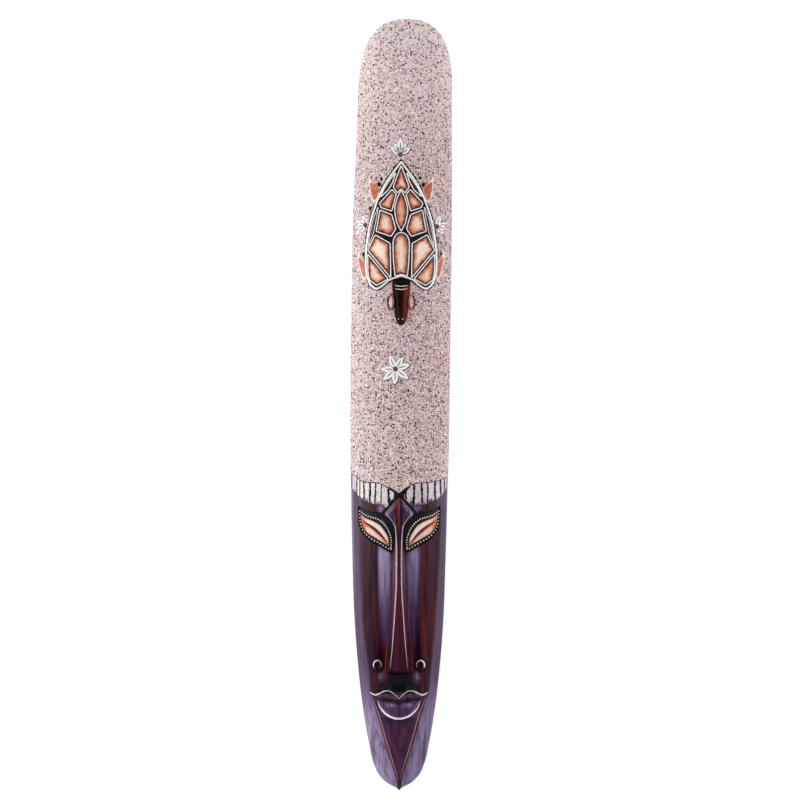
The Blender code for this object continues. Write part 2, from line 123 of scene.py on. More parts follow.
MOUTH_LINE = [(37.1, 872.2), (29, 878.3), (14, 879.8), (0, 883.6)]
LOWER_LIP = [(0, 906.4), (10, 904.2), (19, 897.5), (25.5, 887), (29.5, 880.8)]
LOWER_MOUTH_LINE = [(29.5, 880.8), (14, 882.2), (0, 886)]
BAND = [(0, 616.2), (22.7, 641.4)]
BAND_LENGTH, BAND_WIDTH = 33.9, 5.8
BAND_ARM = [(-14, 605.5), (-5, 612.8), (0, 616.2)]

# Sand and fringe: the sand's lower edge, the fringe's lower ends, the dark lines between its bars as
# (across, width), and where the wood's fine mesh begins
SAND_EDGE = [(-56.4, 592.1), (-48, 599.2), (-39.6, 600.3), (-29.5, 600.7), (-21.5, 603.2), (-14.3, 607.7),
             (-7.4, 611.6), (-0.8, 614.0), (5.7, 609.6), (13.3, 604.6), (20.9, 601.2), (28.5, 600.9),
             (37.1, 600), (46, 599), (55.5, 596)]
SAND_CORNERS = [587.9, 592.3]
FRINGE_ENDS = [(62, 608), (53.2, 618.7), (46.7, 623.2), (38.3, 626.5), (27.2, 629.7), (18, 633), (8, 622)]
FRINGE_GAPS = [(-61.4, 1.2), (-54.9, 1.7), (-51.2, 1.3), (-45.8, 2.7), (-38, 3.5), (-30.9, 2.7),
               (-23.3, 1.6), (-13.9, 3.5), (-6.5, 1.4), (6.0, 1.4), (8.6, 3.4), (19.0, 3.6), (29.3, 3.4),
               (36.8, 2.6), (46.4, 3.4), (53.6, 2.7), (58.6, 1.6), (61.9, 0.8)]
FINE_MESH_FROM = 592.0

# Turtle: it stands upright on the board whatever the board's bow. The rings on its head are (down, half
# width), the tints say how orange each cell is, side cells first
SHELL = [(0, 183.5), (20.1, 210.8), (32, 234.8), (41.2, 263.9), (44.9, 284.7), (46.9, 302.9), (47, 319.7),
         (45.9, 331.6), (43, 340.6), (38.6, 347.4), (33.4, 350.8), (27.6, 349.8), (21.4, 345.2),
         (13.6, 339.2), (0, 334.6)]
HEAD = [(12, 336), (11.8, 352), (10.2, 368), (9, 382), (5.6, 393.5), (0, 398.2)]
HEAD_EYE, HEAD_EYE_RADII = (12.4, 367.5), (5.4, 10.8)
HEAD_COLLAR = (344, 348)
HEAD_RINGS = ((345.2, 8.6), (349.4, 8.0))
HEAD_NOSTRILS = [(-3.4, 389), (1.8, 389)]
REAR_FLIPPER = [(41.9, 204.8), (34.6, 212.1), (28, 219.8), (30, 231.5), (34.9, 239.5), (39.4, 230.2),
                (41.8, 217.3)]
FRONT_FLIPPER = [(55.8, 299.5), (50.6, 308.5), (46.5, 318), (44.8, 337.5), (49.6, 337), (53.9, 325),
                 (56.4, 311)]
MIDDLE_CELLS = [
    [(0, 190.7), (6.9, 208.9), (10.1, 218.2), (5.1, 225.8), (0, 220.5)],
    [(0, 222.6), (4.5, 231.2), (7.9, 243.2), (8.2, 251), (5.8, 263.9), (0, 275.5)],
    [(0, 277.2), (3.6, 277.9), (7.0, 280.6), (9.6, 285.6), (10.5, 292), (9.8, 314.5), (7.8, 333.3),
     (0, 331.1)],
]
SIDE_CELLS = [
    [(7.1, 199.7), (14.9, 209.5), (22, 220.5), (26.6, 230.9), (16.9, 222.4), (11, 212.1)],
    [(11.7, 221.5), (6.5, 228), (12.3, 249.3), (25.9, 244.7), (27.9, 239.3)],
    [(12.3, 254.1), (27.5, 248.1), (29.6, 261.3), (32.2, 275.3), (13, 282), (7.1, 272.4)],
    [(29.8, 243.8), (36.0, 259.9), (40.7, 279), (42.3, 295), (35.7, 276.6), (32.3, 260.1)],
    [(14.3, 291.2), (33.5, 280.2), (43.1, 299.6), (13.6, 335.3)],
    [(43.1, 304.8), (16.9, 337), (31.8, 345.3), (40.9, 337.9), (42.8, 327.5)],
]
CELL_TINTS = [0.45, 0.3, 0.25, 0.25, 0.1, 0.15, 0.55, 0.4, 0.0, 0.05, 0.25, 0.2, 0.15, 0.5, 0.15]
# Black spots beside the flippers, painted as shadows where the shell and the flippers meet
SHELL_SHADOW_SPOTS = [(-28, 214.6), (-39.4, 246), (27.9, 215.5), (-48.1, 305), (50.8, 304), (-25, 207.5),
                 (24, 206.5)]

# Flowers: a centre and the tips of its petals, measured from the centre
FLOWERS = [
    ((-1.0, 176.1), [(-13, -9), (-7.5, -14.5), (0, -21), (7.5, -14), (13, -8.5)]),
    ((-45.7, 267.1), [(-12.3, -5.7), (-11.3, 10.8), (-3.9, -12.2), (-14.5, 2)]),
    ((45.8, 269.1), [(4.8, -14), (13.5, -4.3), (9, 9.8), (13, 3)]),
    ((-7.5, 453.4), [(-8, -17.4), (10, -15.4), (18.7, -5.6), (16.7, 13.1), (-0.6, 20), (-15, 14.3),
                     (-19.2, 0.6)]),
]
PETAL_FULLNESS = 0.2
PETAL_SHADOW = (0.7, 0.8)
FLOWER_CENTRE = 3.4

# Painted lines of the face, half of each; the brow's line is a painted highlight along band and frame
BROW_HIGHLIGHT = [(2.0, 621.5), (8, 628.5), (15, 636.5), (17.2, 640.3), (11.4, 646.6), (5.9, 655.6), (4.2, 666)]
LIP_LINE = [(37.6, 871.6), (33, 874.4), (28, 874.6), (19.5, 870.4), (11.7, 870.2), (3.9, 875.8), (0, 879.4)]
SMILE_LINE = [(27.6, 882.6), (24.2, 891.2), (17.2, 899.4), (8.6, 904.2), (0, 905.6)]
MOUTH_GAP = [(34, 876.2), (27, 879.6), (14, 881.2), (5, 883.0), (0, 885.2)]

# Metres: gap between the points along raised and fine lines, and how far above the ground the sand ends
LINE_GAP, FINE_GAP = 0.0008, 0.0007
SAND_FOOT = 0.0008

# Stage: the right light's share of power, the floor, and the view that the photograph has
RIGHT_LIGHT_SHARE = 0.6
FLOOR_HALF, FLOOR_DROP = 8.0, 0.0005
PHOTO_PIXELS, PIXEL_SHARE = 800, 0.001297
CAMERA_PLACE = (-0.00156, 0.0065, 0.012)


def curve_value(points, where):
    """Smooth height of a curve through (place, value) points, flat beyond both ends."""
    places = np.array([point[0] for point in points], float)
    values = np.array([point[1] for point in points], float)
    slopes = np.gradient(values, places)
    slopes[0] = slopes[-1] = 0.0
    for index in range(1, len(values) - 1):
        if (values[index] - values[index - 1]) * (values[index + 1] - values[index]) <= 0:
            slopes[index] = 0.0
    where = np.clip(where, places[0], places[-1])
    left = np.clip(np.searchsorted(places, where, side="right") - 1, 0, len(places) - 2)
    gap = places[left + 1] - places[left]
    t = (where - places[left]) / gap
    return ((1 + 2 * t) * (1 - t) ** 2 * values[left] + t * (1 - t) ** 2 * gap * slopes[left]
            + t * t * (3 - 2 * t) * values[left + 1] + t * t * (t - 1) * gap * slopes[left + 1])


def ramp(value, start, end):
    """0 before start and 1 after end, with an easy turn at both."""
    t = np.clip((value - start) / (end - start), 0, 1)
    return t * t * (3 - 2 * t)


def between(value, start, end, ease):
    """1 between two values and 0 outside them, eased at both."""
    return ramp(value, start - ease, start + ease) * (1 - ramp(value, end - ease, end + ease))


def soft_min(first, second, softness):
    """The smaller of two heights, rounded where they cross."""
    share = np.clip(0.5 + 0.5 * (second - first) / softness, 0, 1)
    return second * (1 - share) + first * share - softness * share * (1 - share)


def scatter(first, second, seed=0.0):
    """An even random number from 0 to 1 for each place, the same on every run."""
    value = np.sin(first * 12.9898 + second * 78.233 + seed * 37.719) * 43758.5453
    return value - np.floor(value)


def blot(across, down, middle, reach):
    """1 at a place of the template, falling softly to 0 around it."""
    return np.exp(-((across - middle[0]) / reach[0]) ** 2 - ((down - middle[1]) / reach[1]) ** 2)


def lean(down):
    """How far the mask's middle line bows to the right, in metres."""
    return BOW * np.clip(1 - down / BOW_FOOT, 0, 1) ** 2


def half_width(down):
    """Half width of the sheet's outline at a place down the sheet."""
    end = np.clip(1 - down / TOP_ROUND, 0, 1)
    return curve_value(SIDE, down) * (1 - end ** TOP_SQUARENESS) ** (1 / TOP_SQUARENESS)


def footprint_middle():
    """Middle of the bowed outline across the mask, in metres."""
    down = np.linspace(0, SHEET[1], 400)
    half = half_width(down) * ACROSS
    return 0.5 * ((lean(down) + half).max() + (lean(down) - half).min())


MIDDLE = footprint_middle()


def place(points):
    """Template points as plan points in metres, on the bowed mask."""
    points = np.asarray(points, float)
    across = points[:, 0] * ACROSS + lean(points[:, 1]) - MIDDLE
    return np.column_stack([across, LENGTH / 2 - points[:, 1] * DOWN])


def place_upright(points):
    """Template points of the turtle as plan points in metres, on the footprint's middle."""
    points = np.asarray(points, float)
    return np.column_stack([points[:, 0] * ACROSS, LENGTH / 2 - points[:, 1] * DOWN])


def to_template(plan):
    """Plan points in metres as template places across and down."""
    down = (LENGTH / 2 - plan[:, 1]) / DOWN
    return (plan[:, 0] + MIDDLE - lean(down)) / ACROSS, down


def mirrored(points):
    """The same template points on the other side."""
    return [(-across, down) for across, down in points]


def on_side(points, side):
    """Template points on the right side, or mirrored to the left."""
    return list(points) if side > 0 else mirrored(points)


def smooth_line(points, steps=6):
    """A curve through a few points, as a list of points."""
    points = [Vector(point) for point in points]
    ends = [2 * points[0] - points[1]] + points + [2 * points[-1] - points[-2]]
    line = []
    for before, start, finish, after in zip(ends, ends[1:], ends[2:], ends[3:]):
        for step in range(steps):
            t = step / steps
            line.append(0.5 * (2 * start + (finish - before) * t
                               + (2 * before - 5 * start + 4 * finish - after) * t ** 2
                               + (3 * start - before - 3 * finish + after) * t ** 3))
    return [tuple(point) for point in line + [points[-1]]]


def smooth_loop(points, steps=5):
    """A smooth closed curve through a few points."""
    whole = smooth_line([points[-1]] + list(points) + list(points[:2]), steps)
    return whole[steps:-steps - 1]


def cut_corners(points, size=1.1):
    """A closed outline with its corners taken off."""
    line = []
    for before, here, after in zip([points[-1]] + points[:-1], points, points[1:] + points[:1]):
        here = np.array(here, float)
        for other, both in ((before, False), (after, True)):
            run = np.array(other, float) - here
            reach = float(np.hypot(*run))
            if both:
                line.append(here + 0.25 * (line[-1] - here) + 0.25 * run / reach * min(size, 0.4 * reach))
            line.append(here + run / reach * min(size, 0.4 * reach))
    return line


def two_sided(half, steps=6):
    """A closed outline from its right half, which starts and ends on the middle line."""
    right = smooth_line(half, steps)
    left = [point for point in reversed(mirrored(right)) if abs(point[0]) > 1e-6]
    return right + left


def closed_by_two(first, second, steps=4):
    """A closed outline of two curves that meet in points, such as an eye."""
    return smooth_line(first, steps)[:-1] + smooth_line(second, steps)[:-1]


def disc(centre, radii, sides=24):
    """An oval outline."""
    turns = [2 * math.pi * side / sides for side in range(sides)]
    return [(centre[0] + radii[0] * math.cos(turn), centre[1] + radii[1] * math.sin(turn)) for turn in turns]


def evenly(line, gap, closed=False):
    """The same line with its points a set gap apart."""
    line = np.asarray(line, float)
    if closed:
        line = np.vstack([line, line[:1]])
    steps = np.linalg.norm(np.diff(line, axis=0), axis=1)
    along = np.concatenate([[0], np.cumsum(steps)])
    count = max(int(round(along[-1] / gap)), 2)
    wanted = np.linspace(0, along[-1], count + 1)
    points = np.column_stack([np.interp(wanted, along, line[:, axis]) for axis in (0, 1)])
    return points[:-1] if closed else points


def depth_inside(plan, outline):
    """Distance of plan points from a closed outline, above zero inside it."""
    starts = np.asarray(outline, float)
    runs = np.roll(starts, -1, axis=0) - starts
    nearest = np.full(len(plan), np.inf)
    inside = np.zeros(len(plan), bool)
    for (x, y), (run_x, run_y) in zip(starts, runs):
        off_x, off_y = plan[:, 0] - x, plan[:, 1] - y
        along = np.clip((off_x * run_x + off_y * run_y) / (run_x ** 2 + run_y ** 2), 0, 1)
        nearest = np.minimum(nearest, (off_x - along * run_x) ** 2 + (off_y - along * run_y) ** 2)
        crosses = (off_y < 0) != (off_y < run_y)
        if run_y != 0:
            inside ^= crosses & (off_x < off_y / run_y * run_x)
    return np.where(inside, 1, -1) * np.sqrt(nearest)


def inset(outline, distance):
    """A closed outline moved inwards by a distance."""
    points = np.asarray(outline, float)
    area = 0.5 * np.sum(points[:, 0] * np.roll(points[:, 1], -1) - points[:, 1] * np.roll(points[:, 0], -1))
    runs = np.roll(points, -1, axis=0) - points
    normals = np.column_stack([-runs[:, 1], runs[:, 0]]) * math.copysign(1, area)
    normals /= np.linalg.norm(normals, axis=1)[:, None]
    bisectors = normals + np.roll(normals, 1, axis=0)
    sizes = np.maximum(np.linalg.norm(bisectors, axis=1), 0.7)
    return points + bisectors / (sizes ** 2)[:, None] * 2 * distance


def inset_clean(outline, distance):
    """A closed outline moved far inwards, without the loops that its corners would leave."""
    points = inset(evenly(outline, 0.2 * distance, True), distance)
    return points[depth_inside(points, outline) > 0.98 * distance]


def plain_front(across, down):
    """Height of the blank and the face's large facets, with no nose or relief on them."""
    half = np.maximum(half_width(down), 0.3)
    end = np.clip(1 - down / TOP_ROUND, 0, 1)
    side = np.clip(np.abs(across) / curve_value(SIDE, down), 0, 1)
    out = np.clip((side ** TOP_SQUARENESS + end ** TOP_SQUARENESS) ** (1 / TOP_SQUARENESS), 0, 1)
    arch = (1 - out ** ARCH_FULLNESS) ** ARCH_STEEPNESS
    edge = EDGE_HEIGHT / UP
    board = edge + (curve_value(BOARD_CROWN, down) - edge) * arch
    crest_across = curve_value(CREST_ACROSS, down)
    crest_height = curve_value(CREST_HEIGHT, down)
    middle = curve_value(FRONT_HEIGHT, down)
    front = middle - (middle - crest_height) * np.clip(np.abs(across) / crest_across, 0, 1) ** 2
    side_share = (half - np.abs(across)) / np.maximum(half - crest_across, 1.0)
    sides = edge + (crest_height - edge) * np.clip(side_share, 0, 2)
    face = soft_min(front, sides, CREST_SOFTNESS)
    foot = curve_value(NOSE_FOOT_HALF, down)
    valley = 1 - ramp(np.abs(across), foot, foot + VALLEY_WIDTH)
    face = face - curve_value(VALLEY_DEPTH, down) * valley
    share = curve_value(FACE_SHARE, down)
    return np.maximum(board * (1 - share) + face * share, edge)


def nose(across, down, ground):
    """Height with the nose's ridge standing on the ground, its top a little dished."""
    top_half = curve_value(NOSE_HALF, down)
    foot_half = curve_value(NOSE_FOOT_HALF, down)
    flank = np.clip((foot_half - np.abs(across)) / (foot_half - top_half), 0, 1)
    dish = NOSE_DISH * np.clip(1 - np.abs(across) / top_half, 0, 1)
    reach = curve_value(NOSE_REACH, down)
    height = np.maximum(curve_value(NOSE_HEIGHT, down) - ground, 0)
    return ground + (height * flank - dish) * reach


def nostrils(across, down):
    """Two ringed wings beside the nose, each with a dished middle, in metres."""
    off = np.hypot((np.abs(across) - NOSTRIL[0]) / NOSTRIL_RADII[0], (down - NOSTRIL[1]) / NOSTRIL_RADII[1])
    return NOSTRIL_RELIEF * (ramp(-off, -1.0, -0.68) - 0.75 * ramp(-off, -0.55, -0.1))


def bands(across, down):
    """Two low bands that run down from the crossing above the nose, in metres."""
    (start_across, start_down), (end_across, end_down) = BAND
    run = np.array([end_across - start_across, end_down - start_down])
    size = float(np.hypot(*run))
    along = ((np.abs(across) - start_across) * run[0] + (down - start_down) * run[1]) / size
    off = np.abs((np.abs(across) - start_across) * run[1] - (down - start_down) * run[0]) / size
    ends = ramp(along, -2, 1) * (1 - ramp(along, size - 4, size))
    return BAND_RELIEF * (1 - ramp(off, BAND_WIDTH / 2 - 0.8, BAND_WIDTH / 2 + 0.4)) * ends


def chisel_marks(across, down):
    """Low waves that a gouge leaves on the face, in metres."""
    waves = np.sin(across / 2.6 + 1.7 * np.sin(down / 31)) * np.sin(down / 13 + 1.3 * np.sin(across / 9))
    return 0.00016 * waves


def eye_frames():
    """Plan outlines of both eye frames."""
    return [place(closed_by_two(on_side(FRAME_UPPER, side), on_side(FRAME_LOWER, side))) for side in (1, -1)]


def eye_leaf(side):
    """Plan outline of one eye's raised leaf."""
    return place(closed_by_two(on_side(LEAF_UPPER, side), on_side(LEAF_LOWER, side)))


def eye_tint(plan):
    """How much orange the eyes' leaves have: most at the outer tip and beside the slit."""
    across, down = to_template(plan)
    off = np.abs(across)
    below = down - np.interp(off, *zip(*EYE_SLIT[::-1]))
    beside = np.exp(-((below - 1.2) / 2.4) ** 2) * between(off, 17, 46, 3)
    ends = ramp(off, 40, 47) * ramp(below, -10, -1) + 0.8 * (1 - ramp(off, 14, 19)) * ramp(below, -4, 1)
    return np.clip(0.75 * beside + ends + 0.25 * ramp(below, 0, 3), 0, 0.95)


def slit_share(plan, distance):
    """How dark the slit in an eye's leaf is: widest in its middle, with a soft edge."""
    across = to_template(plan)[0]
    along = np.clip((np.abs(across) - EYE_SLIT[-1][0]) / (EYE_SLIT[0][0] - EYE_SLIT[-1][0]), 0, 1)
    wide = 0.0006 + 0.0014 * np.sin(np.pi * along ** 0.85)
    return 1 - ramp(distance, 0.45 * wide, 1.5 * wide)


def lip_outlines():
    """Plan outlines of the upper and the lower lip."""
    outlines = []
    for outer, inner in ((UPPER_LIP, MOUTH_LINE), (LOWER_LIP, LOWER_MOUTH_LINE)):
        half = smooth_line(outer)[:-1] + smooth_line(inner)
        outlines.append(place(half + list(reversed(mirrored(half)))[1:-1]))
    return outlines


FRAMES, LIPS = eye_frames(), lip_outlines()


def board_top(plan):
    """Height of the plain board and facets above the rim, in metres."""
    across, down = to_template(plan)
    return plain_front(across, down) * UP


def wood_top(plan):
    """Height of the carved front above the rim, in metres, without the eyes' leaves."""
    across, down = to_template(plan)
    ground = plain_front(across, down)
    height = nose(across, down, ground) * UP + nostrils(across, down) + bands(across, down)
    height = height + chisel_marks(across, down) * ramp(down, 640, 660)
    for outline in FRAMES:
        height = height - EYE_SINK * ramp(depth_inside(plan, outline), 0, CHISEL_STEP)
    for outline in LIPS:
        height = height + LIP_RELIEF * ramp(depth_inside(plan, outline), 0, LIP_SLOPE)
    return height


def staggered(outline, gap):
    """Points in staggered rows inside a plan outline."""
    low, high = outline.min(axis=0), outline.max(axis=0)
    rows = []
    for row, y in enumerate(np.arange(low[1], high[1], gap * 0.866)):
        x = np.arange(low[0], high[0], gap) + 0.5 * gap * (row % 2)
        rows.append(np.column_stack([x, np.full(len(x), y)]))
    points = np.concatenate(rows)
    return points[depth_inside(points, outline) > 0.45 * gap]


def point_tree(points):
    """A search tree of plan points."""
    tree = kdtree.KDTree(len(points))
    for index, point in enumerate(points):
        tree.insert((point[0], point[1], 0), index)
    tree.balance()
    return tree


def clear_of(points, lines, gap):
    """The points that keep a gap to every line."""
    near = [point for line, closed in lines for point in evenly(line, gap * 0.5, closed)]
    if not near or not len(points):
        return points
    tree = point_tree(near)
    keep = [tree.find((point[0], point[1], 0))[2] > gap for point in points]
    return points[np.array(keep)]


def triangles(loop, lines, points):
    """Triangles that fill a closed loop, follow the lines inside it and all turn the same way."""
    coordinates, edges = [], []
    for line, closed in [(loop, True)] + list(lines):
        first = len(coordinates)
        coordinates += [Vector(point) for point in line]
        last = len(coordinates) - 1
        edges += [(index, index + 1) for index in range(first, last)]
        if closed:
            edges.append((last, first))
    coordinates += [Vector(point) for point in points]
    result = delaunay_2d_cdt(coordinates, edges, [list(range(len(loop)))], 1, 1e-7)
    plan = np.array([tuple(point) for point in result[0]])
    faces = np.array(result[2])
    first, second, third = plan[faces[:, 0]], plan[faces[:, 1]], plan[faces[:, 2]]
    one, two = second - first, third - first
    turned = one[:, 0] * two[:, 1] - one[:, 1] * two[:, 0] < 0
    faces[turned] = faces[turned][:, ::-1]
    return plan, faces


def rim_edges(faces):
    """The edges that only one triangle uses, in that triangle's direction."""
    edges = np.concatenate([faces[:, [0, 1]], faces[:, [1, 2]], faces[:, [2, 0]]])
    known = set(map(tuple, edges.tolist()))
    return [edge for edge in known if (edge[1], edge[0]) not in known]


def ring_walls(steps, count):
    """The faces between closed rings of points that follow one another."""
    return [[row * count + one, row * count + (one + 1) % count, (row + 1) * count + (one + 1) % count,
             (row + 1) * count + one] for row in range(steps) for one in range(count)]


def lifted(surface, lift):
    """The height rule of a surface, moved up or down."""
    return lambda plan: surface(plan) + lift


def higher(first, second):
    """The height rule of the higher of two surfaces."""
    return lambda plan: np.maximum(first(plan), second(plan))


def depth_zone(edge):
    """A paint zone that holds the depth inside an outline."""
    return lambda plan: np.maximum(depth_inside(plan, edge), 0)


def level_zone(value):
    """A paint zone with one value all over."""
    return lambda plan: np.full(len(plan), value)


class Shape:
    """Points, faces and paint zones of one piece, gathered before it becomes a mesh."""

    def __init__(self):
        self.count = 0
        self.points, self.faces, self.finishes, self.zones = [], [], [], {}

    def add(self, points, faces, finish=0, **zones):
        """Add points, faces that number them from zero, and a value at each point for each zone."""
        points = np.asarray(points, float)
        self.points.append(points)
        self.faces += [[self.count + int(corner) for corner in face] for face in faces]
        self.finishes += [finish] * len(faces)
        for zone, values in zones.items():
            whole = np.broadcast_to(np.asarray(values, float), (len(points),))
            self.zones.setdefault(zone, []).append((self.count, whole))
        self.count += len(points)

    def add_patch(self, outline, top, bottom, gap=0.0012, lines=(), zones=None):
        """Add a closed patch over an outline, between two height rules, its points a gap apart."""
        outline = np.asarray(outline, float)
        points = clear_of(staggered(outline, gap), list(lines), 0.4 * gap)
        plan, faces = triangles(outline, lines, points)
        count = len(plan)
        both = np.concatenate([np.column_stack([plan, top(plan)]), np.column_stack([plan, bottom(plan)])])
        walls = [[b, a, a + count, b + count] for a, b in rim_edges(faces)]
        whole = faces.tolist() + (faces[:, ::-1] + count).tolist() + walls
        values = {zone: np.tile(rule(plan), 2) for zone, rule in (zones or {}).items()}
        self.add(both, whole, **values)

    def add_ribbon(self, line, width, ground, rise, sink, closed=False, taper=0.0, wobble=0.12, **zones):
        """Add a closed, rounded band of paint that lies along a plan line on the ground."""
        line = np.asarray(line, float)
        ahead, behind = np.roll(line, -1, axis=0), np.roll(line, 1, axis=0)
        if not closed:
            ahead[-1], behind[0] = line[-1], line[0]
        runs = ahead - behind
        runs /= np.maximum(np.linalg.norm(runs, axis=1), 1e-9)[:, None]
        beside = np.column_stack([-runs[:, 1], runs[:, 0]])
        share = np.linspace(0, 1, len(line))
        widths = np.full(len(line), width) if np.isscalar(width) else np.interp(share, *zip(*width))
        count = len(line)
        wave = np.sin(np.arange(count) * 0.37 + line[0, 0] * 900) * np.sin(np.arange(count) * 0.83 + 1)
        widths = widths * (1 + wobble * wave)
        if taper and not closed:
            ends = np.minimum(share, 1 - share) / taper
            widths = widths * np.clip(np.sqrt(np.clip(ends, 0.02, 1)), 0.15, 1)
        profile = [(-0.5, 0.0), (-0.36, 0.72), (-0.14, 1.0), (0.14, 1.0), (0.36, 0.72), (0.5, 0.0),
                   (0.34, -1.0), (-0.34, -1.0)]
        rings = []
        for offset, height in profile:
            plan = line + beside * (widths * offset)[:, None]
            lift = rise * height if height >= 0 else -sink
            lift = lift - (0.0001 if height == 0 else 0)
            rings.append(np.column_stack([plan, ground(plan) + lift]))
        around = len(profile)
        points = np.stack(rings, axis=1).reshape(-1, 3)
        faces = []
        for step in range(count if closed else count - 1):
            here, there = step * around, (step + 1) % count * around
            for side in range(around):
                after = (side + 1) % around
                faces.append([here + side, there + side, there + after, here + after])
        if not closed:
            faces.append(list(range(around)))
            faces.append([(count - 1) * around + side for side in reversed(range(around))])
        self.add(points, faces, **zones)

    def add_dome(self, centre, radius, ground, rise, sink, sides=10, **zones):
        """Add a closed round drop of paint."""
        centre = np.asarray(centre, float).reshape(1, 2)
        turns = np.linspace(0, 2 * np.pi, sides, endpoint=False)
        round_about = np.column_stack([np.cos(turns), np.sin(turns)])
        level = float(ground(centre)[0])
        points = []
        for share, height in ((0.85, -sink), (1.0, 0.0), (0.86, 0.5 * rise), (0.5, 0.87 * rise)):
            ring = centre + round_about * radius * share
            points.append(np.column_stack([ring, np.full(sides, level + height)]))
        points.append([[centre[0, 0], centre[0, 1], level + rise]])
        faces = ring_walls(3, sides)
        faces += [[3 * sides + side, 3 * sides + (side + 1) % sides, 4 * sides] for side in range(sides)]
        faces.append(list(reversed(range(sides))))
        self.add(np.concatenate(points), faces, **zones)


def make_piece(name, shape, finishes, sharp=38, merge=0.0):
    """Turn a shape into a piece that has its finishes and rides on the mask."""
    mesh = bpy.data.meshes.new(name)
    mesh.from_pydata(np.concatenate(shape.points).tolist(), [], shape.faces)
    for zone, parts in shape.zones.items():
        values = np.zeros(shape.count, np.float32)
        for first, part in parts:
            values[first:first + len(part)] = part
        mesh.attributes.new(zone, "FLOAT", "POINT").data.foreach_set("value", values)
    for finish in finishes:
        mesh.materials.append(finish)
    mesh.polygons.foreach_set("material_index", shape.finishes)
    joined = bmesh.new()
    joined.from_mesh(mesh)
    if merge:
        bmesh.ops.remove_doubles(joined, verts=joined.verts, dist=merge)
    bmesh.ops.recalc_face_normals(joined, faces=joined.faces)
    joined.to_mesh(mesh)
    joined.free()
    mesh.shade_smooth()
    mesh.set_sharp_from_angle(angle=math.radians(sharp))
    piece = bpy.data.objects.new(name, mesh)
    bpy.context.scene.collection.objects.link(piece)
    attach(piece, "root")
    return piece


def make_relief(name, shape, finish, sharp=70):
    """Turn a shape into a piece of painted relief."""
    return make_piece(name, shape, [finish], sharp)


def linear(red, green, blue):
    """A screen colour from 0 to 255 as the shader's own linear colour."""
    shares = [channel / 255 for channel in (red, green, blue)]
    return [share / 12.92 if share <= 0.04045 else ((share + 0.055) / 1.055) ** 2.4 for share in shares]


def add_node(tree, kind, inputs=None, **settings):
    """Add a node, set its properties, and set or link its inputs."""
    made = tree.nodes.new("ShaderNode" + kind)
    for name, value in settings.items():
        setattr(made, name, value)
    for name, value in (inputs or {}).items():
        if isinstance(value, bpy.types.NodeSocket):
            tree.links.new(value, made.inputs[name])
        else:
            made.inputs[name].default_value = value
    return made


def mix_colours(tree, share, first, second):
    """The colour between two others, by a share from 0 to 1."""
    both = [colour if isinstance(colour, bpy.types.NodeSocket) else (*colour, 1)
            for colour in (first, second)]
    return add_node(tree, "Mix", {0: share, 6: both[0], 7: both[1]}, data_type="RGBA").outputs[2]


def calculate(tree, operation, first, second):
    """The result of one sum on two values."""
    return add_node(tree, "Math", {0: first, 1: second}, operation=operation).outputs[0]


def times(tree, first, second):
    """The product of two values."""
    return calculate(tree, "MULTIPLY", first, second)


def reshape(tree, value, low, high, new_low=0.0, new_high=1.0):
    """A value moved from one range to another and kept inside it."""
    inputs = {"Value": value, "From Min": low, "From Max": high, "To Min": new_low, "To Max": new_high}
    return add_node(tree, "MapRange", inputs, clamp=True).outputs[0]


def zone(tree, name):
    """The value that a piece's points hold for a paint zone."""
    return add_node(tree, "Attribute", attribute_name=name).outputs["Fac"]


def streaked_zone(tree, name, streaks, low, high, least=0.0):
    """A paint zone's value, from a least share of it between the streaks to all of it on them."""
    return times(tree, reshape(tree, streaks, low, high, least, 1.0), zone(tree, name))


def noise(tree, vector, scale, detail=3.0, roughness=0.5, distortion=0.0):
    """Soft noise from 0 to 1."""
    inputs = {"Vector": vector, "Scale": scale, "Detail": detail, "Roughness": roughness,
              "Distortion": distortion}
    return add_node(tree, "TexNoise", inputs).outputs[0]


def object_place(tree, stretch=(1, 1, 1)):
    """The piece's own coordinates, stretched along each axis."""
    coordinate = add_node(tree, "TexCoord").outputs["Object"]
    return add_node(tree, "Mapping", {"Vector": coordinate, "Scale": stretch}).outputs[0]


def new_group(name, inputs, outputs):
    """An empty node group with named inputs and outputs."""
    group = bpy.data.node_groups.new(name, "ShaderNodeTree")
    for label, kind, value in inputs:
        socket = group.interface.new_socket(label, in_out="INPUT", socket_type="NodeSocket" + kind)
        socket.default_value = value
    for label, kind in outputs:
        group.interface.new_socket(label, in_out="OUTPUT", socket_type="NodeSocket" + kind)
    return group, group.nodes.new("NodeGroupInput"), group.nodes.new("NodeGroupOutput")


def wood_grain_group():
    """Long streaks and fine pores of light wood, which run down the mask."""
    if "wood grain" in bpy.data.node_groups:
        return bpy.data.node_groups["wood grain"]
    group, given, made = new_group(
        "wood grain", [("Width", "Float", 150.0), ("Length", "Float", 7.0)],
        [("Streaks", "Float"), ("Patches", "Float"), ("Pores", "Float"), ("Height", "Float")])
    stretch = add_node(group, "CombineXYZ", {"X": given.outputs["Width"], "Y": given.outputs["Length"],
                                             "Z": given.outputs["Width"]})
    coordinate = add_node(group, "TexCoord").outputs["Object"]
    vector = add_node(group, "VectorMath", {0: coordinate, 1: stretch.outputs[0]}, operation="MULTIPLY")
    streaks = noise(group, vector.outputs[0], 1.0, 4.0, 0.62, 0.35)
    patches = noise(group, object_place(group, (40, 9, 40)), 1.0, 2.0, 0.5, 0.4)
    pores = noise(group, object_place(group, (1500, 60, 1500)), 1.0, 2.0, 0.6)
    joined = calculate(group, "ADD", times(group, streaks, 0.6), times(group, pores, 0.4))
    for label, value in (("Streaks", streaks), ("Patches", patches), ("Pores", pores), ("Height", joined)):
        group.links.new(value, made.inputs[label])
    return group


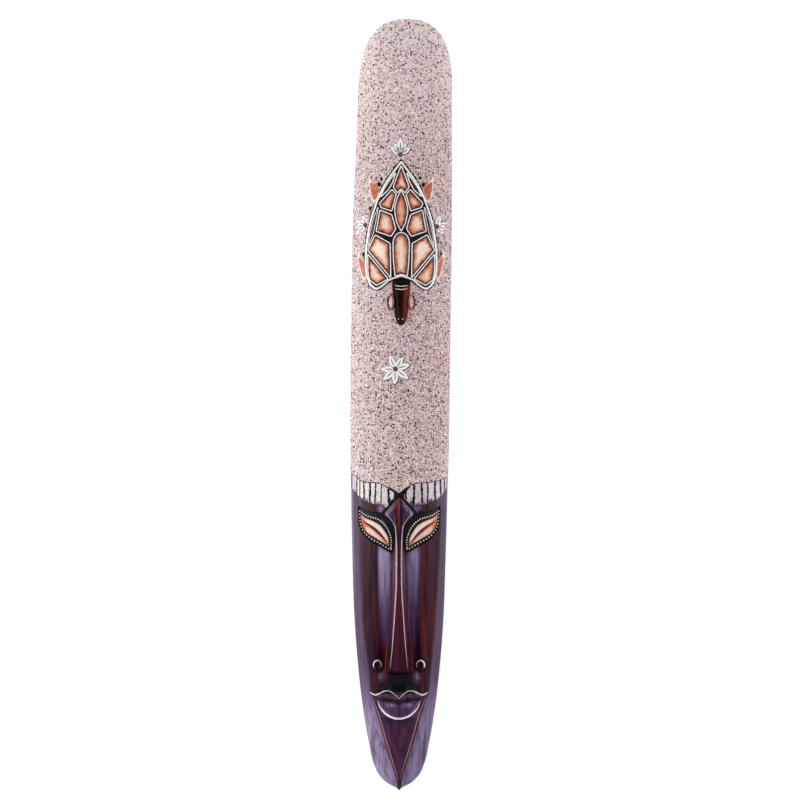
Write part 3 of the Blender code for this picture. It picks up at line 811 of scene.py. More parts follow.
def brush_group():
    """Uneven thickness, thin spots and dirt of paint that is put on by hand."""
    if "hand paint" in bpy.data.node_groups:
        return bpy.data.node_groups["hand paint"]
    group, given, made = new_group(
        "hand paint", [("Scale", "Float", 260.0)],
        [("Thin", "Float"), ("Dirt", "Float"), ("Height", "Float")])
    place_here = object_place(group)
    cloud = noise(group, place_here, given.outputs["Scale"], 4.0, 0.6, 0.3)
    fine = noise(group, place_here, 1900.0, 2.0, 0.5)
    thin = reshape(group, cloud, 0.50, 0.72)
    dirt = reshape(group, noise(group, place_here, 95.0, 3.0, 0.6), 0.52, 0.75)
    height = calculate(group, "ADD", times(group, cloud, 0.7), times(group, fine, 0.3))
    for label, value in (("Thin", thin), ("Dirt", dirt), ("Height", height)):
        group.links.new(value, made.inputs[label])
    return group


def add_group(tree, group, **inputs):
    """Place a node group in a material with its own values."""
    made = tree.nodes.new("ShaderNodeGroup")
    made.node_tree = group
    for name, value in inputs.items():
        made.inputs[name].default_value = value
    return made.outputs


def new_finish(name, roughness, coat=0.0, coat_roughness=0.1, specular=0.5):
    """An empty material and its shader, with the values that are the same all over."""
    finish = bpy.data.materials.new(name)
    finish.use_nodes = True
    shader = finish.node_tree.nodes["Principled BSDF"]
    shader.inputs["Roughness"].default_value = roughness
    shader.inputs["Coat Weight"].default_value = coat
    shader.inputs["Coat Roughness"].default_value = coat_roughness
    shader.inputs["Specular IOR Level"].default_value = specular
    return finish, finish.node_tree, shader


def made_once(build):
    """Build a finish the first time, and hand out the same one after that."""
    return lambda colours: bpy.data.materials.get(build.__name__) or build(colours)


def dress(tree, shader, colour, height, strength, distance):
    """Give a shader its colour and the fine relief that its normal follows."""
    tree.links.new(colour, shader.inputs["Base Color"])
    bump = add_node(tree, "Bump", {"Height": height, "Strength": strength, "Distance": distance})
    tree.links.new(bump.outputs[0], shader.inputs["Normal"])


def lacquered_wood(colours):
    """Dark stain in plum, red-brown and violet streaks under a clear lacquer, with painted sheen and shade
    in it.
    """
    finish, tree, shader = new_finish("lacquered_wood", 0.36, coat=0.1, coat_roughness=0.14, specular=0.12)
    grain = add_group(tree, wood_grain_group(), Width=190.0, Length=5.5)
    streaks = grain["Streaks"]
    colour = mix_colours(tree, reshape(tree, streaks, 0.36, 0.62), colours.stain_black, colours.stain_plum)
    # violet and lilac stand partly for stain and partly for painted sheen and highlights
    for name, low, high, least, stain in (
            ("warm", 0.46, 0.60, 0.0, colours.stain_red),
            ("violet", 0.36, 0.60, 0.4, colours.stain_violet),
            ("pale", 0.36, 0.56, 0.3, colours.stain_lilac),
            ("orange", 0.34, 0.56, 0.35, colours.stain_orange)):
        colour = mix_colours(tree, streaked_zone(tree, name, streaks, low, high, least), colour, stain)
    # black paint on the frames, and painted shade and shadows on the face
    colour = mix_colours(tree, zone(tree, "black"), colour, colours.paint_black)
    lacquer = calculate(tree, "ADD", zone(tree, "violet"), zone(tree, "pale"))
    tree.links.new(reshape(tree, lacquer, 0.0, 1.2, 0.05, 0.35), shader.inputs["Coat Weight"])
    tree.links.new(reshape(tree, grain["Pores"], 0.3, 0.75, 0.3, 0.46), shader.inputs["Roughness"])
    dress(tree, shader, colour, grain["Height"], 0.3, 0.0005)
    return finish


def carved_back(colours):
    """Thin dark stain over gouged bare wood, dull, for the rim and the hollow."""
    finish, tree, shader = new_finish("stained_back", 0.72, specular=0.3)
    grain = add_group(tree, wood_grain_group(), Width=210.0, Length=9.0)
    bare = reshape(tree, grain["Streaks"], 0.35, 0.66)
    wood = mix_colours(tree, bare, colours.back_dark, colours.back_wood)
    worn = mix_colours(tree, reshape(tree, grain["Patches"], 0.45, 0.75, 0.0, 0.7), wood, colours.back_dark)
    tree.links.new(reshape(tree, grain["Pores"], 0.3, 0.7, 0.6, 0.85), shader.inputs["Roughness"])
    dress(tree, shader, worn, grain["Height"], 0.6, 0.0009)
    return finish


def sand_finish(colours):
    """Pale sand in glue with dark and white grains, lighter at the top, warmer on the right and painted as
    lit on the left.
    """
    finish, tree, shader = new_finish("sand_coat", 0.9, specular=0.2)
    spot = object_place(tree)
    grains = []
    for scale, size in ((310.0, 0.40), (430.0, 0.43), (860.0, 0.50)):
        cells = add_node(tree, "TexVoronoi", {"Vector": spot, "Scale": scale, "Randomness": 1.0})
        round_grain = reshape(tree, cells.outputs["Distance"], size - 0.05, size + 0.05, 1.0, 0.0)
        values = add_node(tree, "SeparateColor", {"Color": cells.outputs["Color"]}).outputs
        grains.append((values, round_grain))
    axes = add_node(tree, "SeparateXYZ", {"Vector": spot}).outputs
    # painted light: the sand is lighter on the left, where the stronger side light falls
    ground = mix_colours(tree, reshape(tree, axes[0], -0.058, 0.0), colours.sand_left, colours.sand_right)
    ground = mix_colours(tree, reshape(tree, axes[1], 0.3, 0.5), ground, colours.sand_top)
    cloud = noise(tree, spot, 45.0, 3.0, 0.6)
    ground = mix_colours(tree, reshape(tree, cloud, 0.35, 0.7, 0.0, 0.3), ground, colours.sand_pink)
    (large, large_grain), (coarse, coarse_grain), (fine, fine_grain) = grains
    for value, low, share, grain_shape, colour in (
            (fine[1], 0.52, 0.75, fine_grain, colours.sand_brown),
            (fine[2], 0.60, 0.95, fine_grain, colours.sand_white),
            (coarse[1], 0.58, 0.9, coarse_grain, colours.sand_white),
            (fine[0], 0.84, 0.9, fine_grain, colours.sand_dark),
            (coarse[0], 0.78, 0.9, coarse_grain, colours.sand_dark),
            (large[0], 0.80, 0.95, large_grain, colours.sand_dark)):
        chosen = times(tree, reshape(tree, value, low, low + 0.01, 0.0, share), grain_shape)
        ground = mix_colours(tree, chosen, ground, colour)
    dress(tree, shader, ground, coarse_grain, 0.5, 0.0004)
    return finish


@made_once
def white_paint(colours):
    """Thick cream-white paint with thin, dirty spots."""
    finish, tree, shader = new_finish("white_paint", 0.42, coat=0.2, coat_roughness=0.2)
    brush = add_group(tree, brush_group(), Scale=300.0)
    colour = mix_colours(tree, times(tree, brush["Thin"], 0.25), colours.paint_white, colours.paint_grey)
    colour = mix_colours(tree, zone(tree, "rose"), colour, colours.paint_rose)
    colour = mix_colours(tree, zone(tree, "warm"), colour, colours.paint_orange)
    dress(tree, shader, colour, brush["Height"], 0.3, 0.0003)
    return finish


@made_once
def black_paint_and_shadows(colours):
    """Black paint with patches of a blue cast under lacquer, also for the painted shadows by the shell and
    petals.
    """
    finish, tree, shader = new_finish("black_paint_and_shadows", 0.36, coat=0.06, coat_roughness=0.15, specular=0.12)
    brush = add_group(tree, brush_group(), Scale=240.0)
    colour = mix_colours(tree, times(tree, brush["Dirt"], 0.6), colours.paint_black, colours.paint_navy)
    dress(tree, shader, colour, brush["Height"], 0.25, 0.0003)
    return finish


def shaded_paint(name, centre, middle, rim, low=0.0009, high=0.0042):
    """Paint that turns from its centre's colour to a burnt rim, by the depth inside the outline."""
    finish, tree, shader = new_finish(name, 0.34, coat=0.2, coat_roughness=0.15, specular=0.25)
    brush = add_group(tree, brush_group(), Scale=130.0)
    shake = times(tree, calculate(tree, "SUBTRACT", brush["Height"], 0.5), 3.0 * high)
    depth = calculate(tree, "ADD", zone(tree, "depth"), shake)
    inner = mix_colours(tree, reshape(tree, depth, low, high), middle, centre)
    inner = mix_colours(tree, times(tree, brush["Thin"], 0.3), inner, middle)
    inner = mix_colours(tree, zone(tree, "tint"), inner, middle)
    edge = calculate(tree, "ADD", zone(tree, "depth"), times(tree, shake, 0.3))
    inner = mix_colours(tree, reshape(tree, edge, low * 0.15, low * 1.9, 1.0, 0.0), inner, rim)
    inner = mix_colours(tree, zone(tree, "dark"), inner, rim)
    dress(tree, shader, inner, brush["Height"], 0.25, 0.0004)
    return finish


def fringe_paint(colours):
    """Cream-white bars that fade to dark wood at their lower ends and to grey at the left, as a painted
    sheen.
    """
    finish, tree, shader = new_finish("fringe_paint", 0.5, coat=0.15, coat_roughness=0.25)
    brush = add_group(tree, brush_group(), Scale=330.0)
    grain = add_group(tree, wood_grain_group(), Width=420.0, Length=30.0)
    colour = mix_colours(tree, times(tree, brush["Thin"], 0.5), colours.paint_cream, colours.paint_grey)
    colour = mix_colours(tree, zone(tree, "rose"), colour, colours.paint_rose)
    grey = streaked_zone(tree, "violet", grain["Streaks"], 0.3, 0.6, 0.6)
    colour = mix_colours(tree, grey, colour, colours.stain_lilac)
    uneven = times(tree, calculate(tree, "SUBTRACT", grain["Streaks"], 0.5), 0.9)
    fade = calculate(tree, "ADD", zone(tree, "fade"), uneven)
    specks = reshape(tree, noise(tree, object_place(tree, (1, 0.5, 1)), 520.0, 2.0, 0.6), 0.53, 0.64)
    spots = times(tree, specks, reshape(tree, zone(tree, "fade"), 0.0, 0.9, 0.55, 1.0))
    colour = mix_colours(tree, spots, colour, colours.sand_brown)
    colour = mix_colours(tree, reshape(tree, fade, 0.86, 1.0), colour, colours.stain_plum)
    dress(tree, shader, colour, brush["Height"], 0.4, 0.0004)
    return finish


def head_lacquer(colours):
    """Deep brown stain under thick lacquer, redder towards the right."""
    finish, tree, shader = new_finish("head_lacquer", 0.45, coat=0.02, coat_roughness=0.08, specular=0.03)
    grain = add_group(tree, wood_grain_group(), Width=260.0, Length=24.0)
    brown = reshape(tree, grain["Streaks"], 0.35, 0.65)
    colour = mix_colours(tree, brown, colours.head_dark, colours.head_brown)
    red = streaked_zone(tree, "warm", grain["Streaks"], 0.3, 0.7, 0.5)
    colour = mix_colours(tree, red, colour, colours.head_red)
    colour = mix_colours(tree, zone(tree, "black"), colour, colours.paint_black)
    dress(tree, shader, colour, grain["Height"], 0.15, 0.0003)
    return finish


def colour_setting(name, description, red, green, blue):
    """One colour of the mask as a property."""
    return FloatVectorProperty(name=name, description=description, subtype="COLOR", size=3, min=0, max=1,
                               default=linear(red, green, blue))


def length_setting(name, description, millimetres):
    """One size of the mask as a property."""
    return FloatProperty(name=name, description=description, subtype="DISTANCE", unit="LENGTH", min=0,
                         precision=5, default=millimetres / 1000)


class MaskColours(bpy.types.PropertyGroup):
    """Colours of the mask's stains, paints and sand."""

    stain_black: colour_setting("Stain, darkest", "Darkest streaks of the face", 32, 8, 24)
    stain_plum: colour_setting("Stain, plum", "Most of the face", 60, 17, 40)
    stain_red: colour_setting("Stain, red-brown", "Warm streaks of the face", 102, 24, 19)
    # partly violet stain, partly painted sheen on the valleys, side planes and chin
    stain_violet: colour_setting("Stain, violet", "Valleys, side planes and chin", 90, 66, 118)
    # partly lilac stain, partly painted sheen and highlights on valleys, chin sides, band edges, fringe's
    # left bar
    stain_lilac: colour_setting("Stain, lilac", "Pale valleys and the chin's sides", 165, 149, 181)
    stain_orange: colour_setting("Stain, orange", "Streak above the nose", 205, 95, 40)
    back_dark: colour_setting("Back, dark", "Stain in the hollow", 44, 30, 26)
    back_wood: colour_setting("Back, wood", "Wood that shows in the hollow", 104, 72, 50)
    # painted light: lighter, as where the stronger left light falls
    sand_left: colour_setting("Sand, left", "Ground of the sand on the left", 218, 194, 190)
    sand_right: colour_setting("Sand, right", "Ground of the sand on the right", 206, 173, 168)
    sand_top: colour_setting("Sand, top", "Ground of the sand at the top end", 255, 230, 225)
    sand_pink: colour_setting("Sand, pink", "Pinker clouds in the sand", 216, 180, 176)
    sand_white: colour_setting("Sand, white", "White grains", 252, 246, 243)
    sand_brown: colour_setting("Sand, brown", "Brown grains", 170, 124, 114)
    sand_dark: colour_setting("Sand, dark", "Dark grains", 34, 17, 22)
    paint_white: colour_setting("Paint, white", "White lines, dots and petals", 255, 251, 246)
    paint_cream: colour_setting("Paint, cream", "Bars of the fringe", 246, 240, 234)
    paint_grey: colour_setting("Paint, thin", "White where the paint is thin", 196, 186, 184)
    paint_rose: colour_setting("Paint, rose", "White rubbed with violet stain", 188, 150, 165)
    paint_orange: colour_setting("Paint, orange", "White rubbed with brown stain", 158, 82, 64)
    # also the painted shade and shadows of the face, round the shell and beside the petals
    paint_black: colour_setting("Paint, black", "Black lines and frames", 16, 13, 20)
    paint_navy: colour_setting("Paint, navy", "Blue cast in the black", 34, 32, 62)
    scute_centre: colour_setting("Scute, centre", "Middle of the shell's cells", 255, 238, 216)
    scute_middle: colour_setting("Scute, orange", "Orange round the middle", 208, 108, 62)
    scute_rim: colour_setting("Scute, rim", "Burnt edge of the cells", 78, 24, 18)
    leaf_centre: colour_setting("Eye, centre", "Middle of the eyes' leaves", 247, 224, 208)
    leaf_middle: colour_setting("Eye, orange", "Shading of the eyes' leaves", 212, 104, 62)
    leaf_rim: colour_setting("Eye, rim", "Slit and dark tips of the eyes' leaves", 84, 22, 16)
    flipper_rim: colour_setting("Flipper, rim", "Edge of the flippers", 250, 232, 214)
    flipper_middle: colour_setting("Flipper, middle", "Red-orange of the flippers", 192, 84, 48)
    head_dark: colour_setting("Head, dark", "Darkest streaks of the turtle's head", 15, 5, 6)
    head_brown: colour_setting("Head, brown", "Most of the turtle's head", 48, 14, 11)
    head_red: colour_setting("Head, red", "Right side of the turtle's head", 128, 46, 24)
    petal_heart: colour_setting("Flower, heart", "Middle of the flowers", 112, 58, 62)
    floor: colour_setting("Floor", "Plain floor below the mask", 250, 250, 250)


class MaskSizes(bpy.types.PropertyGroup):
    """Sizes of the coats and of the meshes' own triangles."""

    face_gap: length_setting("Face detail", "Gap between the points of the carved face", 0.95)
    board_gap: length_setting("Board detail", "Gap between the points of the wood under the sand", 8.0)
    hollow_gap: length_setting("Hollow detail", "Gap between the points of the hollow", 3.2)
    sand_gap: length_setting("Sand detail", "Gap between the points of the sand", 1.2)
    paint_gap: length_setting("Paint detail", "Gap between the points of the raised paint", 0.6)
    sand_thickness: length_setting("Sand thickness", "Thickness of the sand coat", 0.6)
    sand_grain: length_setting("Sand grain", "How far single grains stand out of the sand", 0.55)
    paint_thickness: length_setting("Paint thickness", "Thickness of painted lines", 0.32)
    paint_sink: length_setting("Paint sink", "How far paint reaches below the surface it lies on", 0.5)
    scute_line: length_setting("Cell line", "Width of the white line round each cell of the shell", 1.5)
    shell_border: length_setting("Shell border", "Width of the white border round the shell", 2.7)
    dot_radius: length_setting("Dot radius", "Radius of the dots round the eyes", 1.0)


class MaskStudio(bpy.types.PropertyGroup):
    """Camera and lights."""

    lens: FloatProperty(name="Lens", description="Focal length of the camera", unit="CAMERA", default=300)
    side_power: FloatProperty(name="Side lights", description="Power of each side light", unit="POWER",
                              default=28)
    end_power: FloatProperty(name="End lights", description="Power of the lights beyond both ends",
                             unit="POWER", default=5)
    room_light: FloatProperty(name="Room light", description="Strength of the even light of the room", min=0,
                              default=0.5)
    floor_glow: FloatProperty(name="Floor glow", description="Light that the floor gives, as a light table",
                              min=0, default=0.5)
    backdrop: FloatProperty(name="Backdrop", description="How pale the room looks behind the floor", min=0,
                            default=0.92)


def outline_loop(board_gap, face_gap, last=SHEET[1]):
    """The right side of the mask's outline in template points, from the top end down."""
    turn = np.linspace(0, 1, 40, endpoint=False)[1:]
    top = TOP_ROUND * turn ** 2.2
    sides = np.arange(TOP_ROUND, 590, board_gap / DOWN)
    face = np.arange(590, 985, face_gap / DOWN)
    chin = np.linspace(985, 1000, 16, endpoint=False)
    down = np.concatenate([top, sides, face, chin])
    down = down[down < last]
    return [(float(half_width(one)), float(one)) for one in down]


def blank_outline(board_gap, face_gap):
    """The mask's whole outline in plan."""
    right = outline_loop(board_gap, face_gap)
    return place([(0, 0)] + right + [(0, SHEET[1])] + mirrored(right)[::-1])


def opening_loop(gap):
    """The mouth of the hollow in the back, a rim's width inside the outline, in plan."""
    start, finish = TOP_LAND, SHEET[1] - CHIN_LAND
    count = int((finish - start) * DOWN / gap)
    share = 0.5 - 0.5 * np.cos(np.pi * np.linspace(0, 1, count))
    down = start + (finish - start) * share
    from_end = np.minimum(down - start, finish - down) / (RIM / DOWN * 3)
    fullness = (1 - np.clip(1 - from_end, 0, 1) ** TOP_SQUARENESS) ** (1 / TOP_SQUARENESS)
    half = (half_width(down) - RIM / ACROSS) * fullness
    right = [(float(a), float(b)) for a, b in zip(half, down)]
    return place(right + mirrored(right[1:-1])[::-1])


def hollow_top(plan, opening):
    """Height of the hollow's roof above the rim, with the scoops that a gouge leaves."""
    across, down = to_template(plan)
    roof = plain_front(across, down) * UP - WALL
    wave = np.sin(across / 2.1 + 2.2 * np.sin(down / 26)) * np.sin(down / 8.5 + 1.5 * np.sin(across / 7))
    depth = depth_inside(plan, opening)
    roof = roof + 0.0007 * wave * ramp(depth, 0.002, 0.008)
    return np.maximum(soft_min(roof, 1.6 * depth, 0.004), 0)


def face_lines():
    """The carved edges that the face's triangles follow: (plan points, closed)."""
    lines = []
    root, tip, foot = [down for down, share in NOSE_REACH[1:]]
    for side in (1, -1):
        down = np.linspace(CREST_ACROSS[2][0], CREST_ACROSS[-3][0], 220)
        for beside in (-CREST_SOFTNESS, 0, CREST_SOFTNESS):
            across = side * (curve_value(CREST_ACROSS, down) + beside)
            lines.append((place(np.column_stack([across, down])), False))
        down = np.linspace(root, tip, 180)
        for half in (NOSE_HALF, NOSE_FOOT_HALF):
            lines.append((place(np.column_stack([side * curve_value(half, down), down])), False))
    lines.append((place(np.column_stack([np.zeros(180), down])), False))
    for down in (tip, foot):
        half = float(curve_value(NOSE_FOOT_HALF, down))
        lines.append((place([(share * half, down) for share in np.linspace(-1, 1, 37)]), False))
    for outline in FRAMES:
        lines.append((outline, True))
        lines.append((inset(outline, CHISEL_STEP), True))
    for outline in LIPS:
        lines.append((outline, True))
    return lines


def face_zones(plan):
    """How much of each stain, of black paint and of painted sheen and shade the face has at each plan point.
    """
    across, down = to_template(plan)
    off, left = np.abs(across), (across < 0) * 1.0
    crest, foot = curve_value(CREST_ACROSS, down), curve_value(NOSE_FOOT_HALF, down)
    outer = off - crest

    # violet and lilac, partly stain and partly painted sheen: valleys, side planes, chin, spots by the bands
    # and nostrils
    valley = between(off, foot + 2, 26 - (down - 690) * 0.03, 3.5) * between(down, 684, 812, 14)
    right_side = ramp(outer, 0.5, 3.5) * (0.75 + 0.25 * ramp(down, 820, 900))
    sides = ramp(outer, -3.5, 0.5) * np.where(across < 0, 1, right_side)
    bridge = between(down, 620, 668, 8) * between(off, 4.5, 15, 3)
    brow = between(down, 606, 634, 8) * ramp(off, 45, 53)
    patch = blot(off, down, (23, 634), (4.2, 5))
    inner = blot(off, down, (15.5, 639), (2.6, 6))
    mouth = between(down, 868, 905, 3) * (1 - ramp(off, 24, 32))
    chin = between(down, 905, 985, 12) * (1 - ramp(outer, -4, 0))
    (start_across, start_down), (end_across, end_down) = BAND
    leg = ((down - start_down) * (end_across - start_across) - off * (end_down - start_down)) / BAND_LENGTH
    # painted highlight along the inner edges of the crossing bands
    band_highlight = between(leg, 3.4, 6.6, 1.2) * between(off, 4, 15, 3)
    upper_lip = between(down, 868, 883, 2) * (1 - ramp(off, 28, 34))
    # painted highlight below each nostril wing
    under = blot(off, down, (23.5, 850), (3.4, 5.5))
    flank = between(off, curve_value(NOSE_HALF, down) + 0.5, foot - 0.8, 0.8) * between(down, 690, 800, 20)
    glint = blot(across, down, (-21.5, 651), (3.6, 4))
    lip_glints = blot(off, down, (11.5, 888), (6, 2.6))
    # painted sheen on the chin's side planes and on the outer edges of the side planes
    jaw_sheen = ramp(outer, 0.5, 3) * ramp(down, 855, 925) * (0.6 + 0.4 * ramp(outer, 3, 12))
    far_side_sheen = ramp(outer, 5, 8) * (0.36 - 0.31 * ramp(down, 680, 760)) * (0.3 + 0.7 * left)
    violet = np.maximum.reduce([
        valley, sides * (0.45 + 0.3 * ramp(down, 800, 880)), bridge * 0.35, brow * 0.6, patch, inner,
        band_highlight * 0.8, mouth * 0.55 * (1 - upper_lip), chin * 0.25, under * 0.8, flank * 0.35, glint * 0.9])
    # the lilac sheen is painted stronger on the left, where the stronger light falls
    pale = np.maximum.reduce([
        valley * (1 - ramp(down, 690, 815)) * (0.62 + 0.65 * left), band_highlight * 0.55,
        jaw_sheen * (0.58 + 0.42 * left), far_side_sheen, patch * 0.6, inner * 0.9, under * 0.3, lip_glints * 0.5,
        upper_lip * 0.14, flank * (1 - ramp(down, 700, 780)) * 0.2])

    # red-brown: cheeks, the diamond above the nose, the nose's foot and ridge, lips and chin
    cheek = between(off, 22, crest - 2, 5) * between(down, 650, 885, 20)
    cheek = cheek * (0.25 + 0.55 * np.exp(-((off - 34) / 4) ** 2)) * (0.8 + 0.2 * left)
    base = between(off, foot - 1.6, foot + 1.4, 0.9) * between(down, 690, 845, 8)
    ridge = (1 - ramp(off, 2, 5)) * between(down, 640, 842, 8)
    lips = between(down, 884, 900, 5) * (1 - ramp(off, 2, 7))
    spot = between(down, 922, 952, 7) * (1 - ramp(np.abs(across - 1), 4, 12)) + ramp(down, 982, 994)
    temple = between(down, 612, 640, 6) * between(off, 28, 46, 4)
    edge = between(across - crest, -2.5, 0.5, 1.2) * between(down, 740, 880, 30)
    diamond = between(down, 622, 690, 8) * (1 - ramp(off, 9, 14)) * 0.7
    warm = np.maximum.reduce([cheek, diamond, upper_lip * 0.35, base * 1.2, ridge * 0.3, lips * 1.2, spot,
                              temple * 0.25, edge * 1.1])
    warm = np.clip(warm + 0.1, 0, 1.2) * (1 - 0.6 * valley)

    # black: eye frames, lines beside the edges, and painted shade under the nose, round the nostrils, below
    # the lip and by the nose
    inside = [depth_inside(plan, outline) for outline in FRAMES]
    frames = np.maximum.reduce(inside)
    thick = ramp(inside[0], -0.0036, -0.0020) * between(across, 10, 44, 4) * (1 - ramp(down, 636, 644))
    spread = 12.5 + 22 * ramp(down, 853, 875) + 1.2 * np.sin(down * 0.6 + across * 0.2)
    # painted shadow that the nose casts into the hollow below it
    nose_shadow = ramp(down, 843, 847) * (1 - ramp(off, spread - 4, spread + 4)) * (1 - ramp(down, 871, 876))
    ring = np.hypot((off - NOSTRIL[0]) / NOSTRIL_RADII[0], (down - NOSTRIL[1]) / NOSTRIL_RADII[1])
    # painted shade round each nostril wing
    socket = between(ring, 0.98, 1.4, 0.15) * 0.8
    # painted shade below the lower lip
    gap = between(down, 905, 912, 3) * (1 - ramp(off, 8, 22)) * 0.4
    shade = between(off, foot - 0.5, foot + 2.5, 1.2) * between(down, 655, 700, 10) * 0.8
    streak = between(across, 1.6, 3.8, 0.8) * between(down, 626, 705, 8) * 0.9
    chin_edge = between(outer, 0.4, 2.2, 0.6) * ramp(down, 885, 905) * 0.6
    black = np.maximum.reduce([ramp(frames, -0.0012, 0.0002), thick, nose_shadow, socket, gap, shade, streak,
                               chin_edge])
    black = black * (1 - 0.6 * glint) * (1 - under * 0.7)

    # orange: a tongue above the nose and a line at the nose's foot
    tongue_half = 2.4 - 1.3 * ramp(down, 626, 650)
    tongue = (1 - ramp(np.abs(across + 0.3), 0.4, tongue_half)) * between(down, 617, 660, 9)
    tongue = tongue * (0.85 - 0.4 * ramp(down, 630, 648))
    foot_line = between(off, foot - 0.9, foot + 0.9, 0.7) * between(down, 760, 842, 12) * 0.3
    orange = np.maximum(tongue, foot_line)
    return {"violet": violet, "pale": pale, "warm": warm, "black": black, "orange": orange}


class MASK_OT_wood(bpy.types.Operator):
    """Carve the mask's wood: the face, the blank under the sand, the rim and the hollow"""

    bl_idname = "mask.wood"
    bl_label = "Carve wood"

    def execute(self, context):
        sizes, colours = context.scene.mask_sizes, context.scene.mask_colours
        outline, opening = blank_outline(0.004, 0.0013), opening_loop(0.006)
        lines = [(inset(outline, 0.0025), True)] + face_lines()
        points = [self.points_between(outline, lines, 0.0, FINE_MESH_FROM, sizes.board_gap),
                  self.points_between(outline, lines, FINE_MESH_FROM, SHEET[1], sizes.face_gap)]
        plan, faces = triangles(outline, lines, np.concatenate(points))
        shape = Shape()
        shape.add(np.column_stack([plan, wood_top(plan)]), faces, 0, **face_zones(plan))
        edge = wood_top(outline)
        rows = [np.column_stack([outline, edge * share]) for share in (0.0, 0.25, 0.5, 0.75, 1.0)]
        wall_zones = {name: np.tile(values, len(rows)) for name, values in face_zones(outline).items()}
        shape.add(np.concatenate(rows), ring_walls(len(rows) - 1, len(outline)), 0, **wall_zones)
        ring, ring_faces = triangles(outline, [(opening, True)], [])
        middles = ring[ring_faces].mean(axis=1)
        ring_faces = ring_faces[depth_inside(middles, opening) < 0]
        shape.add(np.column_stack([ring, np.zeros(len(ring))]), ring_faces, 1)
        inner = staggered(opening, sizes.hollow_gap)
        hollow, hollow_faces = triangles(opening, [(inset(opening, 0.004), True)], inner)
        shape.add(np.column_stack([hollow, hollow_top(hollow, opening)]), hollow_faces, 1)
        finishes = [lacquered_wood(colours), carved_back(colours)]
        wood = make_piece("mask_wood", shape, finishes, sharp=32, merge=1e-6)
        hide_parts("carved_mask")
        return {"FINISHED"}

    def points_between(self, outline, lines, start, finish, gap):
        """Points of the front between two places down the sheet, clear of the lines."""
        side, top, low = 0.07, LENGTH / 2 - start * DOWN, LENGTH / 2 - finish * DOWN
        inner = staggered(np.array([(-side, top), (side, top), (side, low), (-side, low)]), gap)
        inner = inner[depth_inside(inner, outline) > 0.5 * gap]
        return clear_of(inner, lines, 0.42 * min(gap, 0.003))


def sand_line():
    """The sand's lower edge from the mask's left side to its right, as template points."""
    left, right = [(side * float(half_width(down)), down) for side, down in zip((-1, 1), SAND_CORNERS)]
    return smooth_line([left] + SAND_EDGE + [right], 10)


class MASK_OT_sand(bpy.types.Operator):
    """Lay the sand coat over the board's front and down its sides"""

    bl_idname = "mask.sand"
    bl_label = "Lay sand"

    def execute(self, context):
        sizes, colours = context.scene.mask_sizes, context.scene.mask_colours
        gap, thick, grain = sizes.sand_gap, sizes.sand_thickness, sizes.sand_grain
        left, right = [outline_loop(gap, gap, down - 0.6) for down in SAND_CORNERS]
        edge = place([(0, 0)] + right)
        left_edge = place(mirrored(left)[::-1])
        middle = evenly(place(sand_line()), gap)[::-1]
        loop = np.vstack([edge, middle, left_edge])
        on_edge = np.concatenate([np.ones(len(edge), bool), np.zeros(len(middle), bool),
                                  np.ones(len(left_edge), bool)])
        plan, faces = triangles(loop, [], staggered(loop, gap))
        rough = thick + grain * (scatter(plan[:, 0] * 1e4, plan[:, 1] * 1e4) ** 2 - 0.25)
        points = np.column_stack([plan, board_top(plan)]) + self.normals(plan) * rough[:, None]
        rows = self.side_rows(loop, on_edge, thick, grain)
        tree = point_tree(loop)
        self.join_rim(points, plan, loop, tree, rows[0])
        shape = Shape()
        shape.add(points, faces)
        shape.add(np.concatenate(rows), ring_walls(len(rows) - 1, len(loop)))
        lips = [(inset(loop, distance), True) for distance in (0.0011, 0.0015)]
        under, under_faces = triangles(loop, lips, staggered(loop, 0.006))
        from_edge = depth_inside(under, blank_outline(0.004, 0.004))
        height = np.where(from_edge < 0.00125, SAND_FOOT, board_top(under) - 0.0009)
        bottom = np.column_stack([under, height])
        self.join_rim(bottom, under, loop, tree, rows[-1])
        shape.add(bottom, under_faces[:, ::-1])
        make_piece("sand_coat", shape, [sand_finish(colours)], sharp=70, merge=2e-6)
        return {"FINISHED"}

    def normals(self, plan):
        """Directions straight out of the board at plan points."""
        step = np.array([0.0005, 0.0])
        slopes = [(board_top(plan + move) - board_top(plan - move)) / (2 * step[0])
                  for move in (step, step[::-1])]
        normals = np.column_stack([-slopes[0], -slopes[1], np.ones(len(plan))])
        return normals / np.linalg.norm(normals, axis=1)[:, None]

    def side_rows(self, loop, on_edge, thick, grain):
        """Rings of points down the coat's side, rough where it covers the mask's edge."""
        around = loop - inset(loop, 0.001)
        around /= np.linalg.norm(around, axis=1)[:, None]
        z_top = board_top(loop) + thick * 0.6
        outward = np.where(on_edge, thick, thick * 0.2)
        z_low = np.where(on_edge, SAND_FOOT, board_top(loop) - 0.0006)
        rows, steps = [], 7
        for row in range(steps + 1):
            bumps = scatter(loop[:, 0] * 1e4, loop[:, 1] * 1e4, row + 1) - 0.5
            wave = grain * bumps * on_edge * (0 < row < steps)
            spread = loop + around * (outward + wave)[:, None]
            rows.append(np.column_stack([spread, z_top + (z_low - z_top) * (row / steps)]))
        return rows

    def join_rim(self, points, plan, loop, tree, row):
        """Put the points that lie on the coat's outline onto a ring of its side."""
        rim = depth_inside(plan, loop) < 1e-6
        points[rim] = row[[tree.find((*point, 0))[1] for point in plan[rim]]]


def sand_top(sizes):
    """The height rule of the sand's surface."""
    return lifted(board_top, sizes.sand_thickness)


def turtle_shell_outline():
    """Plan outline of the turtle's shell."""
    return place_upright(two_sided(SHELL))


def shell_top(plan):
    """Height of the shell's ground at plan points."""
    depth = depth_inside(plan, turtle_shell_outline())
    return board_top(plan) + SHELL_RELIEF * ramp(depth, 0, 1.2 * CHISEL_STEP)


